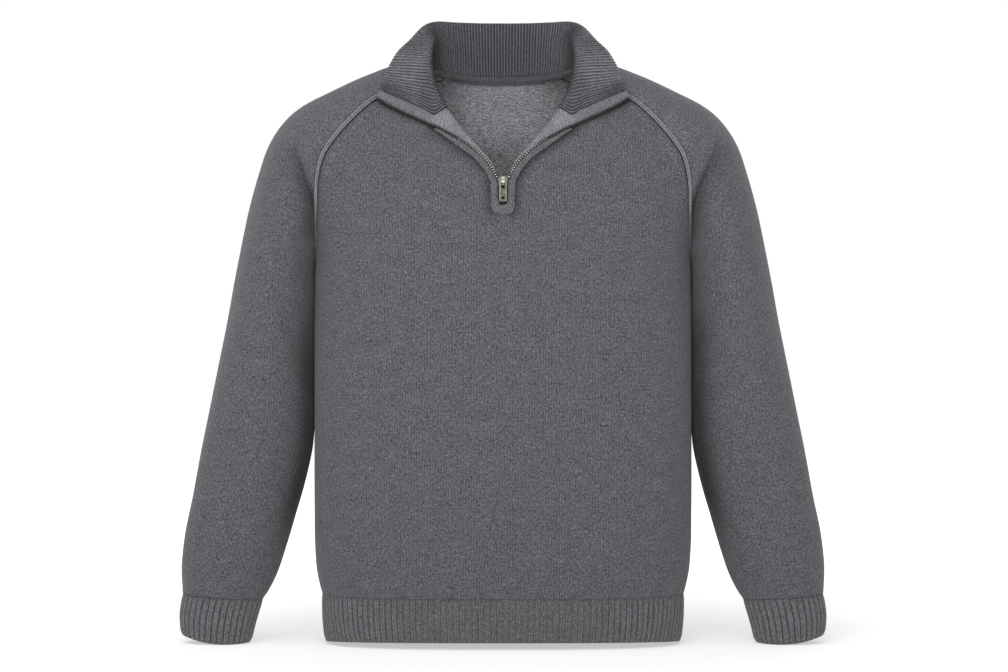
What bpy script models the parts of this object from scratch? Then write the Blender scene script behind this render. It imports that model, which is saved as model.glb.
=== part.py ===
"""Quarter-zip raglan sweater, hollow and filled out as worn, with its ribbed collar folded open.

The front faces -Y and the neck is up (+Z). The origin lies where the wearer's neck and shoulders
hold the sweater: on the middle plane, at the height of the neck seam's ends on the back.
Sizes below are in millimetres; MM turns them to metres as they are read.
"""

import math

import bmesh
import bpy
import mathutils
import numpy as np

MM = 0.001

# Cloth and making
CLOTH = 2.0
COLLAR_CLOTH = 2.2
RIB_CLOTH = 2.4
SEAM_GAP = 0.3
COLLAR_RIB_RISE = 0.45
HEM_RIB_RISE = 0.9
CUFF_RIB_RISE = 0.8
RIB_RISE_AT_SEAM = 0.35
RIB_RISE_AT_END = 0.6

# Ribs and grid divisions
COLLAR_RIBS_PER_SIDE = 44
COLLAR_ROLL_BANDS = 3
HEM_RIBS_PER_SIDE = 52
CUFF_RIBS = 30
FRONT_CELLS = 9
BACK_CELLS = 8
SLEEVE_CELLS_PER_HALF = 7

# Heights
UNDERARM_Z = -222.0
BODY_END_Z = -601.8
HEM_END_Z = -652.0
ZIP_FOOT_Z = -150.0
FOOT_ROW = 1.5
SLIDER_TOP_Z = -110.0

# Raglan stations from neck to underarm: front seam, shoulder line, back seam, how far the sleeve
# swells fore and aft of the shoulder line, and where the middle of the back lies on that row.
RAGLAN_COLUMNS = (
    "along", "front_x", "front_y", "front_z", "top_x", "top_z",
    "back_x", "back_y", "back_z", "front_swell", "back_swell", "spine_y", "spine_z",
)
RAGLAN = (
    (0.00, 86, -24, 11, 88, 24, 70, 46, 19, 24, 46, 70, 12),
    (0.12, 118, -43, 0, 126, 29, 104, 68, 6, 43, 68, 84, -5),
    (0.25, 149, -58, -15, 161, 18, 138, 83, -13, 59, 84, 97, -22),
    (0.40, 178, -70, -41, 205, -2, 172, 93, -41, 71, 94, 108, -46),
    (0.50, 197, -76, -63, 240, -20, 194, 96, -66, 77, 97, 113, -68),
    (0.60, 211, -78, -85, 263, -40, 209, 93, -92, 80, 96, 116, -92),
    (0.70, 218, -72, -113, 281, -68, 216, 84, -120, 79, 91, 118, -120),
    (0.80, 220, -60, -143, 293, -103, 219, 66, -152, 80, 86, 118, -152),
    (0.90, 222, -36, -184, 304, -143, 222, 38, -190, 79, 81, 117, -190),
    (1.00, 225, 0, UNDERARM_Z, 312, -180, 225, 0, UNDERARM_Z, 77, 78, 115, UNDERARM_Z),
)
RAGLAN_ROWS = 14

# Closed sleeve rings from underarm to cuff: the line against the body, the outer line, and depth.
SLEEVE_COLUMNS = ("inner_x", "inner_z", "outer_x", "outer_z", "mid_y", "half_depth")
SLEEVE_RINGS = (
    (227.0, -264, 321.5, -228, 1, 76),
    (227.6, -312, 331, -280, 2, 72),
    (228.0, -364, 342, -334, 2, 67),
    (229.5, -414, 352.5, -386, 1, 62),
    (236, -464, 362.5, -436, -1, 57),
    (248, -508, 371.5, -486, -4, 53),
    (258.5, -544, 380, -528, -7, 50),
    (269, -576, 384, -562, -9, 47),
    (279, -597, 384.5, -584, -10, 42.5),
    (287, -609, 383, -602.5, -11, 37.5),
)
CUFF_RINGS = (
    (286.7, -609.4, 383.2, -602.9, -11, 37),
    (295, -636, 386.5, -627, -12, 36.5),
    (301, -659, 385, -649.5, -13, 34.5),
)

# Body from underarm to hem: half width, and depth fore and aft. The squareness is the power of
# the section's curve, where 2 is an ellipse.
BODY_COLUMNS = ("height", "half_width", "front_depth", "back_depth")
BODY_SQUARENESS = 2.7
BODY = (
    (UNDERARM_Z, 225, 117, 115),
    (-300, 225.5, 120, 116),
    (-400, 225.5, 121, 116),
    (-500, 225.5, 120.5, 115),
    (-552, 224.5, 119, 114),
    (-575, 222.5, 116.5, 111),
    (-590, 219.5, 113, 107.5),
    (BODY_END_Z, 216.5, 109, 104.5),
)
BODY_ROWS = (UNDERARM_Z, -268, -320, -376, -436, -496, -538, -564, -582, -594, BODY_END_Z)
HEM_RINGS = (
    (-602.1, 216.6, 109.1, 104.6),
    (-628, 216.2, 109.5, 105),
    (HEM_END_Z, 213.5, 107, 102.5),
)

# Middle of the front, seen from the side, from neck to underarm.
CHEST_COLUMNS = ("height", "depth")
CHEST = ((11, 44), (2, 52), (-12, 65), (-26, 76), (-41, 85), (-63, 94), (-85, 99),
         (-111, 103.5), (-150, 109), (-186, 113.5), (UNDERARM_Z, 117))

# Edge of the front opening from the foot of the zip to the neck.
OPENING_COLUMNS = ("height", "half_gap")
OPENING = ((ZIP_FOOT_Z, 6.5), (-114, 6.5), (-104.5, 9.5), (-93, 15.5), (-82.5, 23.5),
           (-72.5, 33), (-61.5, 42), (-51, 51), (-39.5, 60), (-28, 69), (-12, 77.5), (2, 82.5),
           (11, 85))

# Collar stations from the middle of the back to the front end: the crest where it turns over,
# and its free edge. The seam itself is read from the panels.
COLLAR_COLUMNS = ("along", "crest_x", "crest_y", "crest_z", "edge_x", "edge_y", "edge_z")
COLLAR = (
    (0.00, 0, 78, 50, 0, 84, 88.5),
    (0.13, 29, 76, 51, 30, 82, 88.5),
    (0.26, 56, 66, 55, 59, 72, 88.5),
    (0.39, 77, 47, 62, 83, 50, 87),
    (0.51, 85, 23, 68, 98, 27, 78),
    (0.61, 87, 1, 58, 112, 2, 60),
    (0.71, 88, -19, 40, 126, -17, 44),
    (0.80, 86, -40, 20, 136, -38, 24),
    (0.90, 81, -62, -8, 142, -56, 5),
    (1.00, 79.5, -78.5, -35.5, 144.5, -64, -9),
)

# Front edge, from the collar's tip to the slider: the line where the facing turns in or meets
# the ribs, the line of the teeth, and how far both stand off the chest.
EDGE_COLUMNS = ("ridge_x", "ridge_z", "teeth_x", "teeth_z", "stand_off")
FRONT_EDGE = (
    (144.2, -11.4, 147.2, -19.4, 4.4),
    (127, -17.5, 134, -27, 3.4),
    (109, -25, 118, -35, 3.2),
    (92, -32.5, 101, -42.5, 2.8),
    (80, -38.5, 86, -49, 2.2),
    (67.5, -30, 73, -54, 1.2),
    (58.5, -39.5, 61, -60.5, 0.6),
    (49.5, -51, 50.5, -66, 0.4),
    (40.5, -61.5, 41, -72, 0.3),
    (31.5, -72.5, 32, -79, 0.3),
    (22, -82.5, 23.5, -86, 0.3),
    (14, -93, 15.5, -95.5, 0.3),
    (8, -104.5, 9.5, -106, 0.3),
)
BAND_WIDTH = 7.0
BAND_FOOT = ((6.9, -118, 13.6, -116), (6.9, -130, 13.6, -130), (6.9, -146, 13.2, -147),
             (4.6, -151.2, 9.4, -156), (0, -152.6, 0, -159))
BAND_LIFT = 0.6
BAND_START = 0.25
BAND_START_RUN = 3.0
BAND_FIRST_SAMPLE = 9
EDGE_SAMPLES = 25
EDGE_LIFT = 0.3
TURN_STATION = 4
CHAIN_ROWS = 6
CHAIN_INNER = 0.15
CHAIN_OUTER = 5.0
CHAIN_SINK = 0.2
CHAIN_TOP_DROP = 3.0
CHAIN_FOOT_RISE = 0.8
TAPE_WIDTH = 2.6
TAPE_THICKNESS = 1.4
FACING_CLOTH = 1.2

# How the collar leaves its seam, and where it starts to fold flat over the front
COLLAR_FRONT_Z = -28.0
COLLAR_GAP = 0.5
COLLAR_SEAM_RISE = 2.8
COLLAR_FOLD_HEIGHT = 3.9
COLLAR_FOLD_FROM = 0.74
COLLAR_END_FROM = 0.86
COLLAR_END_GAP = 1.8
COLLAR_TIP_Y = -62.5
COLLAR_CLEARANCE = 2.4
COLLAR_ROLL_LEAN = 0.3
COLLAR_ROLL_PULL = 0.8

# Raised line of the raglan seams, and how far its underside clears the sleeve from the seam out
RIDGE_START = 0.5
RIDGE_WIDTH = 4.6
RIDGE_RISE = 1.3
RIDGE_EDGE_RISE = 0.65
RIDGE_CLEARANCES = (0.55, 0.9, 1.15)
RIDGE_TURN = 0.15
WRAP_STEP = 0.5

# Slider and pull tab, in a frame that lies on the closed zip: across, down and out of it
SLIDER_LEAN = 8.5
SLIDER_WIDTH = 11.2
SLIDER_LENGTH = 12.0
SLIDER_PLATE = 2.0
SLIDER_CLEARANCE = 0.5
SLIDER_CORNER = 2.4
REAR_PLATE = 1.2
REAR_INSET = 0.6
REAR_START = 0.4
REAR_END = 11.0
REAR_CORNER = 2.0
SLIDER_NECK_WIDTH = 3.0
SLIDER_NECK_START = 0.6
SLIDER_NECK_LENGTH = 2.2
CROWN_WIDTH = 4.4
CROWN_START = 1.2
CROWN_START_RISE = 1.4
CROWN_WALL = 0.9
CROWN_TURN = 125
CROWN_STEPS = 11
PIVOT_DROP = 6.6
PIVOT_RISE = 1.5
TUNNEL_RADIUS = 1.3
TAB_WIDTH = 8.4
TAB_LENGTH = 21.5
TAB_THICKNESS = 1.3
TAB_CORNER = 0.6
TAB_SLOT_WIDTH = 5.4
TAB_SLOT_LENGTH = 2.7
TAB_BAR = 0.65
TAB_HOLE_WIDTH = 4.4
TAB_HOLE_LENGTH = 3.2
TAB_HOLE_DROP = 16.6

# Soft folds: where they lie, how long and wide they are, their slant in degrees and their depth.
# On a sleeve, across runs round it from the front seam and height runs down it from the neck.
FOLD_COLUMNS = ("across", "height", "length", "width", "slant", "depth")
FRONT_FOLDS = (
    (154, -208, 62, 24, 37, 3.2),
    (92, -558, 58, 30, 11, 3.0),
    (14, -566, 40, 28, 4, 1.8),
)
BACK_FOLDS = (
    (142, -204, 72, 26, 40, 3.6),
    (74, -558, 54, 30, 10, 3.0),
)
SLEEVE_SPREAD = 440.0
SLEEVE_DROP = 700.0
SLEEVE_FOLDS = (
    (70, -335, 50, 24, 56, 4.0),
    (372, -350, 54, 26, -52, 4.4),
    (60, -470, 44, 26, 24, 3.0),
    (386, -500, 48, 28, -28, 3.4),
    (130, -560, 40, 24, -18, 2.4),
    (70, -640, 34, 20, 12, 3.0),
    (350, -650, 36, 20, -16, 2.8),
)

COLLECTION = "quarter_zip_sweater"
CUTTERS = "cutters"


def column(table, names, name):
    """One named column of a table, in metres."""
    return np.array([row[names.index(name)] for row in table], float) * MM


def smooth(known_at, known, wanted_at):
    """A smooth curve through the known values, read at the wanted places."""
    known_at = np.asarray(known_at, float)
    known = np.asarray(known, float)
    if known_at[0] > known_at[-1]:
        known_at, known = known_at[::-1], known[::-1]
    step = np.diff(known_at)
    rise = np.diff(known) / step
    slope = np.empty_like(known)
    slope[1:-1] = (rise[:-1] * step[1:] + rise[1:] * step[:-1]) / (step[:-1] + step[1:])
    slope[0], slope[-1] = rise[0], rise[-1]
    wanted = np.clip(np.asarray(wanted_at, float), known_at[0], known_at[-1])
    cell = np.clip(np.searchsorted(known_at, wanted) - 1, 0, len(step) - 1)
    t = (wanted - known_at[cell]) / step[cell]
    h00 = 2 * t**3 - 3 * t**2 + 1
    h10 = t**3 - 2 * t**2 + t
    h01 = 3 * t**2 - 2 * t**3
    h11 = t**3 - t**2
    return (h00 * known[cell] + h10 * step[cell] * slope[cell]
            + h01 * known[cell + 1] + h11 * step[cell] * slope[cell + 1])


def soft_step(value, low, high):
    """0 up to low, 1 from high on, and a soft rise between them."""
    t = np.clip((value - low) / (high - low), 0.0, 1.0)
    return t * t * (3 - 2 * t)


def unit(vectors):
    length = np.linalg.norm(vectors, axis=-1, keepdims=True)
    return vectors / np.maximum(length, 1e-12)


def evenly(points, count):
    """The same line with this many points, evenly spaced along it."""
    steps = np.linalg.norm(np.diff(points, axis=0), axis=1)
    along = np.concatenate([[0.0], np.cumsum(steps)])
    wanted = np.linspace(0.0, along[-1], count)
    return np.stack([np.interp(wanted, along, points[:, k]) for k in range(3)], axis=1)


def raglan(name, along):
    """A raglan column at these shares of the way from neck to underarm."""
    known = column(RAGLAN, RAGLAN_COLUMNS, "along") / MM
    return smooth(known, column(RAGLAN, RAGLAN_COLUMNS, name), along)


def raglan_shares():
    """Shares of the seam at which the upper rows lie, one of them at the foot of the zip."""
    shares = np.linspace(0.0, 1.0, RAGLAN_ROWS - 1)
    fine = np.linspace(0.0, 1.0, 4001)
    heights = raglan("front_z", fine)
    foot = fine[np.argmin(np.abs(heights - ZIP_FOOT_Z * MM))]
    below = fine[np.argmin(np.abs(heights - (ZIP_FOOT_Z - FOOT_ROW) * MM))]
    shares[np.argmin(np.abs(shares - foot))] = foot
    return np.sort(np.append(shares, below))


def chest_depth(height):
    heights = column(CHEST, CHEST_COLUMNS, "height")
    upper = smooth(heights, column(CHEST, CHEST_COLUMNS, "depth"), height)
    lower = smooth(column(BODY, BODY_COLUMNS, "height"),
                   column(BODY, BODY_COLUMNS, "front_depth"), height)
    return np.where(np.asarray(height) > UNDERARM_Z * MM, upper, lower)


def reach_of(seam_x, seam_y, depth):
    """Half width of the section that passes through the seam and is this deep in the middle."""
    share = np.clip(np.abs(seam_y) / depth, 0.0, 0.98) ** BODY_SQUARENESS
    return seam_x / (1.0 - share) ** (1.0 / BODY_SQUARENESS)


def front_reach(height):
    fine = np.linspace(0.0, 1.0, 401)
    heights = raglan("front_z", fine)
    reach = reach_of(raglan("front_x", fine), raglan("front_y", fine), chest_depth(heights))
    upper = np.interp(height, heights[::-1], reach[::-1])
    lower = smooth(column(BODY, BODY_COLUMNS, "height"),
                   column(BODY, BODY_COLUMNS, "half_width"), height)
    return np.where(np.asarray(height) > UNDERARM_Z * MM, upper, lower)


def front_y(x, height):
    """Outer face of the front at this place, by its section alone."""
    share = np.clip(np.abs(x) / front_reach(height), 0.0, 1.0) ** BODY_SQUARENESS
    return -chest_depth(height) * (1.0 - share) ** (1.0 / BODY_SQUARENESS)


def section_half(reach, depth, start_x, end_x, count):
    """Half a section from start_x to end_x, as evenly spaced (x, y) points, y away from the body."""
    turn = np.linspace(0.0, math.pi / 2, 721)
    x = reach * np.sin(turn) ** (2.0 / BODY_SQUARENESS)
    y = depth * np.cos(turn) ** (2.0 / BODY_SQUARENESS)
    ends_x = np.array([start_x, end_x])
    share = np.clip(ends_x / reach, 0.0, 1.0) ** BODY_SQUARENESS
    ends_y = depth * (1.0 - share) ** (1.0 / BODY_SQUARENESS)
    inside = (x > start_x + 1e-6) & (x < end_x - 1e-6)
    x = np.concatenate([[ends_x[0]], x[inside], [ends_x[1]]])
    y = np.concatenate([[ends_y[0]], y[inside], [ends_y[1]]])
    return evenly(np.stack([x, y, np.zeros_like(x)], axis=1), count)[:, :2]


def folded(points, normals, across, heights, folds, closed=False):
    """The points sunk into soft troughs, but for those along the seams."""
    sunk = np.zeros(across.shape)
    for fold in folds:
        place, level, length, width, slant, depth = (
            fold[FOLD_COLUMNS.index(name)] for name in FOLD_COLUMNS)
        turn = math.radians(slant)
        right = across - place * MM
        up = heights - level * MM
        lengthways = up * math.cos(turn) + right * math.sin(turn)
        sideways = right * math.cos(turn) - up * math.sin(turn)
        sunk += depth * MM * np.exp(-(lengthways / (length * MM)) ** 2
                                    - (sideways / (width * MM)) ** 2)
    sunk[:, -1] = 0.0
    sunk[[0, -1]] = 0.0
    if closed:
        sunk[:, 0] = 0.0
    return points - normals * sunk[..., None]


def grid_normals(grid):
    """Unit normals of a grid of points, whose sense is rows down crossed with columns across."""
    down = np.gradient(grid, axis=0)
    over = np.gradient(grid, axis=1)
    return unit(np.cross(down, over))


def front_grid():
    """Right half of the front's outer face: rows from neck to hem, columns from the middle out."""
    shares = raglan_shares()
    rows = []
    for share in shares:
        z = float(raglan("front_z", share))
        seam_x = float(raglan("front_x", share))
        start = float(smooth(column(OPENING, OPENING_COLUMNS, "height"),
                             column(OPENING, OPENING_COLUMNS, "half_gap"), z))
        if z <= (ZIP_FOOT_Z - FOOT_ROW / 2) * MM:
            start = 0.0
        half = section_half(float(front_reach(z)), float(chest_depth(z)), start, seam_x,
                            FRONT_CELLS + 1)
        rows.append(np.stack([half[:, 0], -half[:, 1], np.full(len(half), z)], axis=1))
    for z in BODY_ROWS[1:]:
        half = section_half(float(front_reach(z * MM)), float(chest_depth(z * MM)), 0.0,
                            float(front_reach(z * MM)), FRONT_CELLS + 1)
        rows.append(np.stack([half[:, 0], -half[:, 1], np.full(len(half), z * MM)], axis=1))
    return np.array(rows)


def back_grid():
    """Right half of the back's outer face, laid out as the front's."""
    rows = []
    for share in raglan_shares():
        seam = np.array([raglan("back_" + axis, share) for axis in "xyz"], float)
        spine_y, spine_z = float(raglan("spine_y", share)), float(raglan("spine_z", share))
        half = section_half(float(reach_of(seam[0], seam[1], spine_y)), spine_y, 0.0, seam[0],
                            BACK_CELLS + 1)
        lift = (half[:, 0] / seam[0]) ** 2
        rows.append(np.stack([half[:, 0], half[:, 1], spine_z + (seam[2] - spine_z) * lift], axis=1))
    heights = column(BODY, BODY_COLUMNS, "height")
    for z in BODY_ROWS[1:]:
        width = float(smooth(heights, column(BODY, BODY_COLUMNS, "half_width"), z * MM))
        depth = float(smooth(heights, column(BODY, BODY_COLUMNS, "back_depth"), z * MM))
        half = section_half(width, depth, 0.0, width, BACK_CELLS + 1)
        rows.append(np.stack([half[:, 0], half[:, 1], np.full(len(half), z * MM)], axis=1))
    return np.array(rows)


def sleeve_arc(seam, top, swell, mid_y, count):
    """From a seam point round to the top line, as part of an ellipse that swells fore or aft."""
    rise = min(abs(seam[1] - mid_y) / abs(swell), 1.0)
    start = math.asin(rise)
    run = np.array([top[0] - seam[0], 0.0, top[2] - seam[2]])
    half_run = run / (1.0 + math.cos(start))
    centre = np.array([top[0], mid_y, top[2]]) - half_run
    turn = np.linspace(start, math.pi, count)
    aside = np.array([0.0, swell, 0.0])
    return (centre[None] - np.cos(turn)[:, None] * half_run[None]
            + np.sin(turn)[:, None] * aside[None])


def ring(inner, outer, mid_y, half_depth, count):
    """A closed ring that starts on its inner line and runs round by the front."""
    centre = (inner + outer) / 2
    half_run = (outer - inner) / 2
    turn = np.linspace(0.0, 2 * math.pi, count)
    points = centre[None] - np.cos(turn)[:, None] * half_run[None]
    points[:, 1] = mid_y - np.sin(turn) * half_depth
    return points


def sleeve_grid():
    """Right sleeve's outer face: rows from neck to cuff, columns from front seam to back seam."""
    count = SLEEVE_CELLS_PER_HALF + 1
    rows = []
    for share in raglan_shares():
        front = np.array([raglan("front_" + axis, share) for axis in "xyz"], float)
        back = np.array([raglan("back_" + axis, share) for axis in "xyz"], float)
        top = np.array([raglan("top_x", share), 0.0, raglan("top_z", share)], float)
        fore = sleeve_arc(front, top, -float(raglan("front_swell", share)), 0.0, count)
        aft = sleeve_arc(back, top, float(raglan("back_swell", share)), 0.0, count)
        rows.append(np.concatenate([fore, aft[::-1][1:]]))
    for row in sleeve_ring_rows(SLEEVE_RINGS):
        rows.append(ring(*row, 2 * SLEEVE_CELLS_PER_HALF + 1))
    return np.array(rows)


def sleeve_ring_rows(table):
    rows = []
    for inner_x, inner_z, outer_x, outer_z, mid_y, half_depth in table:
        inner = np.array([inner_x, 0.0, inner_z]) * MM
        outer = np.array([outer_x, 0.0, outer_z]) * MM
        rows.append((inner, outer, mid_y * MM, half_depth * MM))
    return rows


def pulled_in(points, edge, inward, by):
    """The points with one edge row or column moved along the cloth, towards the next one in."""
    moved = points.copy()
    moved[edge] = points[edge] + unit(points[inward] - points[edge]) * by * MM
    return moved


def set_material(obj, name, colour, roughness, metallic=0.0):
    material = bpy.data.materials.get(name)
    if material is None:
        material = bpy.data.materials.new(name)
        material.use_nodes = True
        shader = material.node_tree.nodes["Principled BSDF"]
        shader.inputs["Base Color"].default_value = (*colour, 1.0)
        shader.inputs["Roughness"].default_value = roughness
        shader.inputs["Metallic"].default_value = metallic
    obj.data.materials.append(material)


def add_object(name, vertices, faces, finish, mirror=False):
    mesh = bpy.data.meshes.new(name)
    mesh.from_pydata([tuple(map(float, vertex)) for vertex in vertices], [], faces)
    obj = bpy.data.objects.new(name, mesh)
    bpy.data.collections[COLLECTION].objects.link(obj)
    set_material(obj, *finish)
    if mirror:
        modifier = obj.modifiers.new("other_side", "MIRROR")
        modifier.merge_threshold = 0.00005
    mesh.shade_smooth()
    mesh.set_sharp_from_angle(angle=math.radians(40))
    return obj


def wall(name, outer, inner, finish, side=1, closed_from=None, mirror=False):
    """A wall between two grids of points. Rows from closed_from on run all the way round."""
    rows, columns = outer.shape[:2]
    layer = rows * columns
    vertices = np.concatenate([outer.reshape(-1, 3), inner.reshape(-1, 3)])

    def spot(row, col):
        if closed_from is not None and row >= closed_from and col == columns - 1:
            col = 0
        return row * columns + col

    faces = []
    uses = {}
    for row in range(rows - 1):
        for col in range(columns - 1):
            a, b = spot(row, col), spot(row + 1, col)
            c, d = spot(row + 1, col + 1), spot(row, col + 1)
            for edge in ((a, b), (b, c), (c, d), (d, a)):
                uses.setdefault(tuple(sorted(edge)), []).append(edge)
            first = np.linalg.norm(vertices[a] - vertices[c])
            second = np.linalg.norm(vertices[b] - vertices[d])
            halves = ((a, b, c), (a, c, d)) if first <= second else ((a, b, d), (b, c, d))
            for half in halves:
                faces.append(half)
                faces.append([corner + layer for corner in reversed(half)])
    for found in uses.values():
        start, end = found[0]
        on_plane = mirror and abs(vertices[start][0]) < 1e-7 and abs(vertices[end][0]) < 1e-7
        if len(found) == 1 and not on_plane:
            faces.append([end, start, start + layer, end + layer])
    vertices = vertices * np.array([side, 1, 1])
    used = sorted({corner for face in faces for corner in face})
    place = {old: new for new, old in enumerate(used)}
    faces = [[place[corner] for corner in (reversed(face) if side < 0 else face)] for face in faces]
    return add_object(name, vertices[used], faces, finish, mirror)


KNIT = ("merino_jersey", (0.125, 0.123, 0.135), 0.95)
RIB = ("merino_rib", (0.118, 0.116, 0.128), 0.95)
BAND = ("plain_knit_band", (0.150, 0.148, 0.160), 0.95)
TAPE = ("zip_tape", (0.050, 0.050, 0.055), 0.80)
METAL = ("antique_nickel", (0.420, 0.405, 0.370), 0.35, 0.9)


def shared_seam(first, second):
    """Normals for the two sides of a seam: the same on level cloth, each its own in a deep fold."""
    agree = np.sum(first * second, axis=-1, keepdims=True)
    share = np.clip((agree - 0.2) / 0.6, 0.0, 1.0)
    middle = unit(first + second)
    return unit(first * (1 - share) + middle * share), unit(second * (1 - share) + middle * share)


def panels():
    """Front, back and both sleeves, and the faces that other pieces lie on."""
    front, back, sleeve = front_grid(), back_grid(), sleeve_grid()
    front_n = grid_normals(front)
    back_n = -grid_normals(back)
    sleeve_n = grid_normals(sleeve)
    front_n[:, 0, 0] = np.where(np.abs(front[:, 0, 0]) < 1e-7, 0.0, front_n[:, 0, 0])
    back_n[:, 0, 0] = 0.0
    front_n, back_n = unit(front_n), unit(back_n)
    last = RAGLAN_ROWS - 1
    wrap = unit(sleeve_n[last:, 0] + sleeve_n[last:, -1])
    sleeve_n[last:, 0] = sleeve_n[last:, -1] = wrap

    front = folded(front, front_n, front[..., 0], front[..., 2], FRONT_FOLDS)
    back = folded(back, back_n, back[..., 0], back[..., 2], BACK_FOLDS)
    down, over = np.meshgrid(np.linspace(0, -SLEEVE_DROP * MM, sleeve.shape[0]),
                             np.linspace(0, SLEEVE_SPREAD * MM, sleeve.shape[1]), indexing="ij")
    sleeve = folded(sleeve, sleeve_n, over, down, SLEEVE_FOLDS, closed=True)
    front_n[:last, -1], sleeve_n[:last, 0] = shared_seam(front_n[:last, -1], sleeve_n[:last, 0])
    back_n[:last, -1], sleeve_n[:last, -1] = shared_seam(back_n[:last, -1], sleeve_n[:last, -1])
    side = unit(front_n[last:, -1] + back_n[last:, -1])
    front_n[last:, -1] = back_n[last:, -1] = side
    return (front, front_n), (back, back_n), (sleeve, sleeve_n)


def neck_line(front, front_n, back, back_n, sleeve, sleeve_n):
    """Middle of the wall along the neck, from the middle of the back to the collar's front end,
    with the cloth's outward normal and the way off its edge at each point."""
    points, normals, off = [], [], []

    def take(grid, grid_n, rows, cols, inner_rows, inner_cols):
        edge = grid[rows, cols] - grid_n[rows, cols] * CLOTH * MM / 2
        deeper = grid[inner_rows, inner_cols] - grid_n[inner_rows, inner_cols] * CLOTH * MM / 2
        points.extend(edge)
        normals.extend(grid_n[rows, cols])
        off.extend(unit(edge - deeper))

    take(back, back_n, 0, slice(None), 1, slice(None))
    take(sleeve[:, ::-1], sleeve_n[:, ::-1], 0, slice(1, -1), 1, slice(1, -1))
    take(front[:, ::-1], front_n[:, ::-1], 0, slice(0, -2), 1, slice(0, -2))
    last = int(np.argmin(np.abs(front[:, 0, 2] - COLLAR_FRONT_Z * MM)))
    take(front, front_n, slice(0, last + 1), 0, slice(0, last + 1), 1)
    return np.array(points), np.array(normals), np.array(off)


def resample(values, along, wanted):
    return np.stack([np.interp(wanted, along, values[:, k]) for k in range(3)], axis=1)


def collar_grid(neck):
    """Right half of the collar's middle surface: rows are rib lines, columns run seam to edge."""
    points, normals, off = neck
    steps = np.linalg.norm(np.diff(points, axis=0), axis=1)
    along = np.concatenate([[0.0], np.cumsum(steps)]) / np.sum(steps)
    wanted = np.linspace(0.0, 1.0, 2 * COLLAR_RIBS_PER_SIDE + 1)
    base = resample(points, along, wanted)
    lift = unit(resample(off, along, wanted))
    outward = unit(resample(normals, along, wanted))
    base[0, 0] = lift[0, 0] = outward[0, 0] = 0.0
    known = column(COLLAR, COLLAR_COLUMNS, "along") / MM
    crest, edge = (
        np.stack([smooth(known, column(COLLAR, COLLAR_COLUMNS, part + axis), wanted)
                  for axis in "xyz"], axis=1)
        for part in ("crest_", "edge_"))
    seam = base + lift * COLLAR_GAP * MM
    neck_top = base + lift * COLLAR_SEAM_RISE * MM
    fold = soft_step(wanted, COLLAR_FOLD_FROM, 1.0)[:, None]
    turned = neck_top + outward * COLLAR_FOLD_HEIGHT * MM
    halfway = (neck_top + crest) / 2
    leave = unit(crest - halfway) * (1 - fold) * COLLAR_ROLL_LEAN + unit(edge - crest)
    reach = np.linalg.norm(edge - crest, axis=1, keepdims=True)
    leave = unit(leave) * reach * COLLAR_ROLL_PULL
    columns = [seam, neck_top, halfway + (turned - halfway) * fold, crest]
    for k in range(1, COLLAR_ROLL_BANDS + 1):
        t = k / COLLAR_ROLL_BANDS
        columns.append((2 * t**3 - 3 * t**2 + 1) * crest + (t**3 - 2 * t**2 + t) * leave
                       + (3 * t**2 - 2 * t**3) * edge + (t**3 - t**2) * (edge - crest))
    grid = np.stack(columns, axis=1)
    share = soft_step(wanted, COLLAR_END_FROM, 1.0)[:, None, None]
    grid[:, 3:] += (collar_end() - grid[-1, 3:])[None] * share
    lying = wanted > COLLAR_FOLD_FROM
    face = front_y(grid[lying, 3:, 0], grid[lying, 3:, 2])
    clear = (COLLAR_CLOTH / 2 + COLLAR_RIB_RISE + COLLAR_CLEARANCE) * MM
    grid[lying, 3:, 1] = np.minimum(grid[lying, 3:, 1], face - clear)
    return grid


def collar_end():
    """The collar's front end, just above the facing's line, from the crest out to the free edge."""
    across = np.linspace(TURN_STATION, 0, COLLAR_ROLL_BANDS + 1)
    known = np.arange(len(FRONT_EDGE))
    x, z = (smooth(known, column(FRONT_EDGE, EDGE_COLUMNS, "ridge_" + axis), across)
            for axis in "xz")
    up = unit(np.stack([np.gradient(z), -np.gradient(x)], axis=1))
    up = up * np.sign(up[:, 1:])
    place = np.stack([x, z], axis=1) + up * COLLAR_END_GAP * MM
    points, _ = on_front(place, np.full(len(place), (COLLAR_CLOTH / 2 + COLLAR_CLEARANCE) * MM))
    points[-1, 1] = COLLAR_TIP_Y * MM
    return points


def ribbed(grid, normals, thickness, rise):
    """Outer and inner points of a wall about a middle grid, every second row raised on both faces."""
    rib = (np.arange(grid.shape[0]) % 2 == 0)[:, None, None] * rise * MM
    reach = thickness * MM / 2 + rib
    return grid + normals * reach, grid - normals * reach


def ribbed_ring(rings, section, ribs_columns, thickness, rise):
    """Outer and inner points of a ribbed band whose rings are given from top to bottom."""
    middle = np.stack([section(row) for row in rings])
    normals = grid_normals(middle)
    if np.allclose(middle[:, 0], middle[:, -1]):
        normals[:, 0] = normals[:, -1] = unit(normals[:, 0] + normals[:, -1])
    rib = (np.arange(ribs_columns) % 2 == 0)[None, :, None] * rise * MM
    level = np.ones(len(rings))
    level[0], level[-1] = RIB_RISE_AT_SEAM, RIB_RISE_AT_END
    level = level[:, None, None]
    return middle + normals * rib * level, middle - normals * thickness * MM


def hem_section(row):
    """Half a hem ring at this height, from the middle of the front round to the middle of the back."""
    height, half_width, front_depth, back_depth = np.array(row) * MM
    count = HEM_RIBS_PER_SIDE + 1
    fore = section_half(half_width, front_depth, 0.0, half_width, count)
    aft = section_half(half_width, back_depth, 0.0, half_width, count)
    plan = np.concatenate([fore * [1, -1], aft[::-1][1:]])
    return np.stack([plan[:, 0], plan[:, 1], np.full(len(plan), height)], axis=1)


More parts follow.
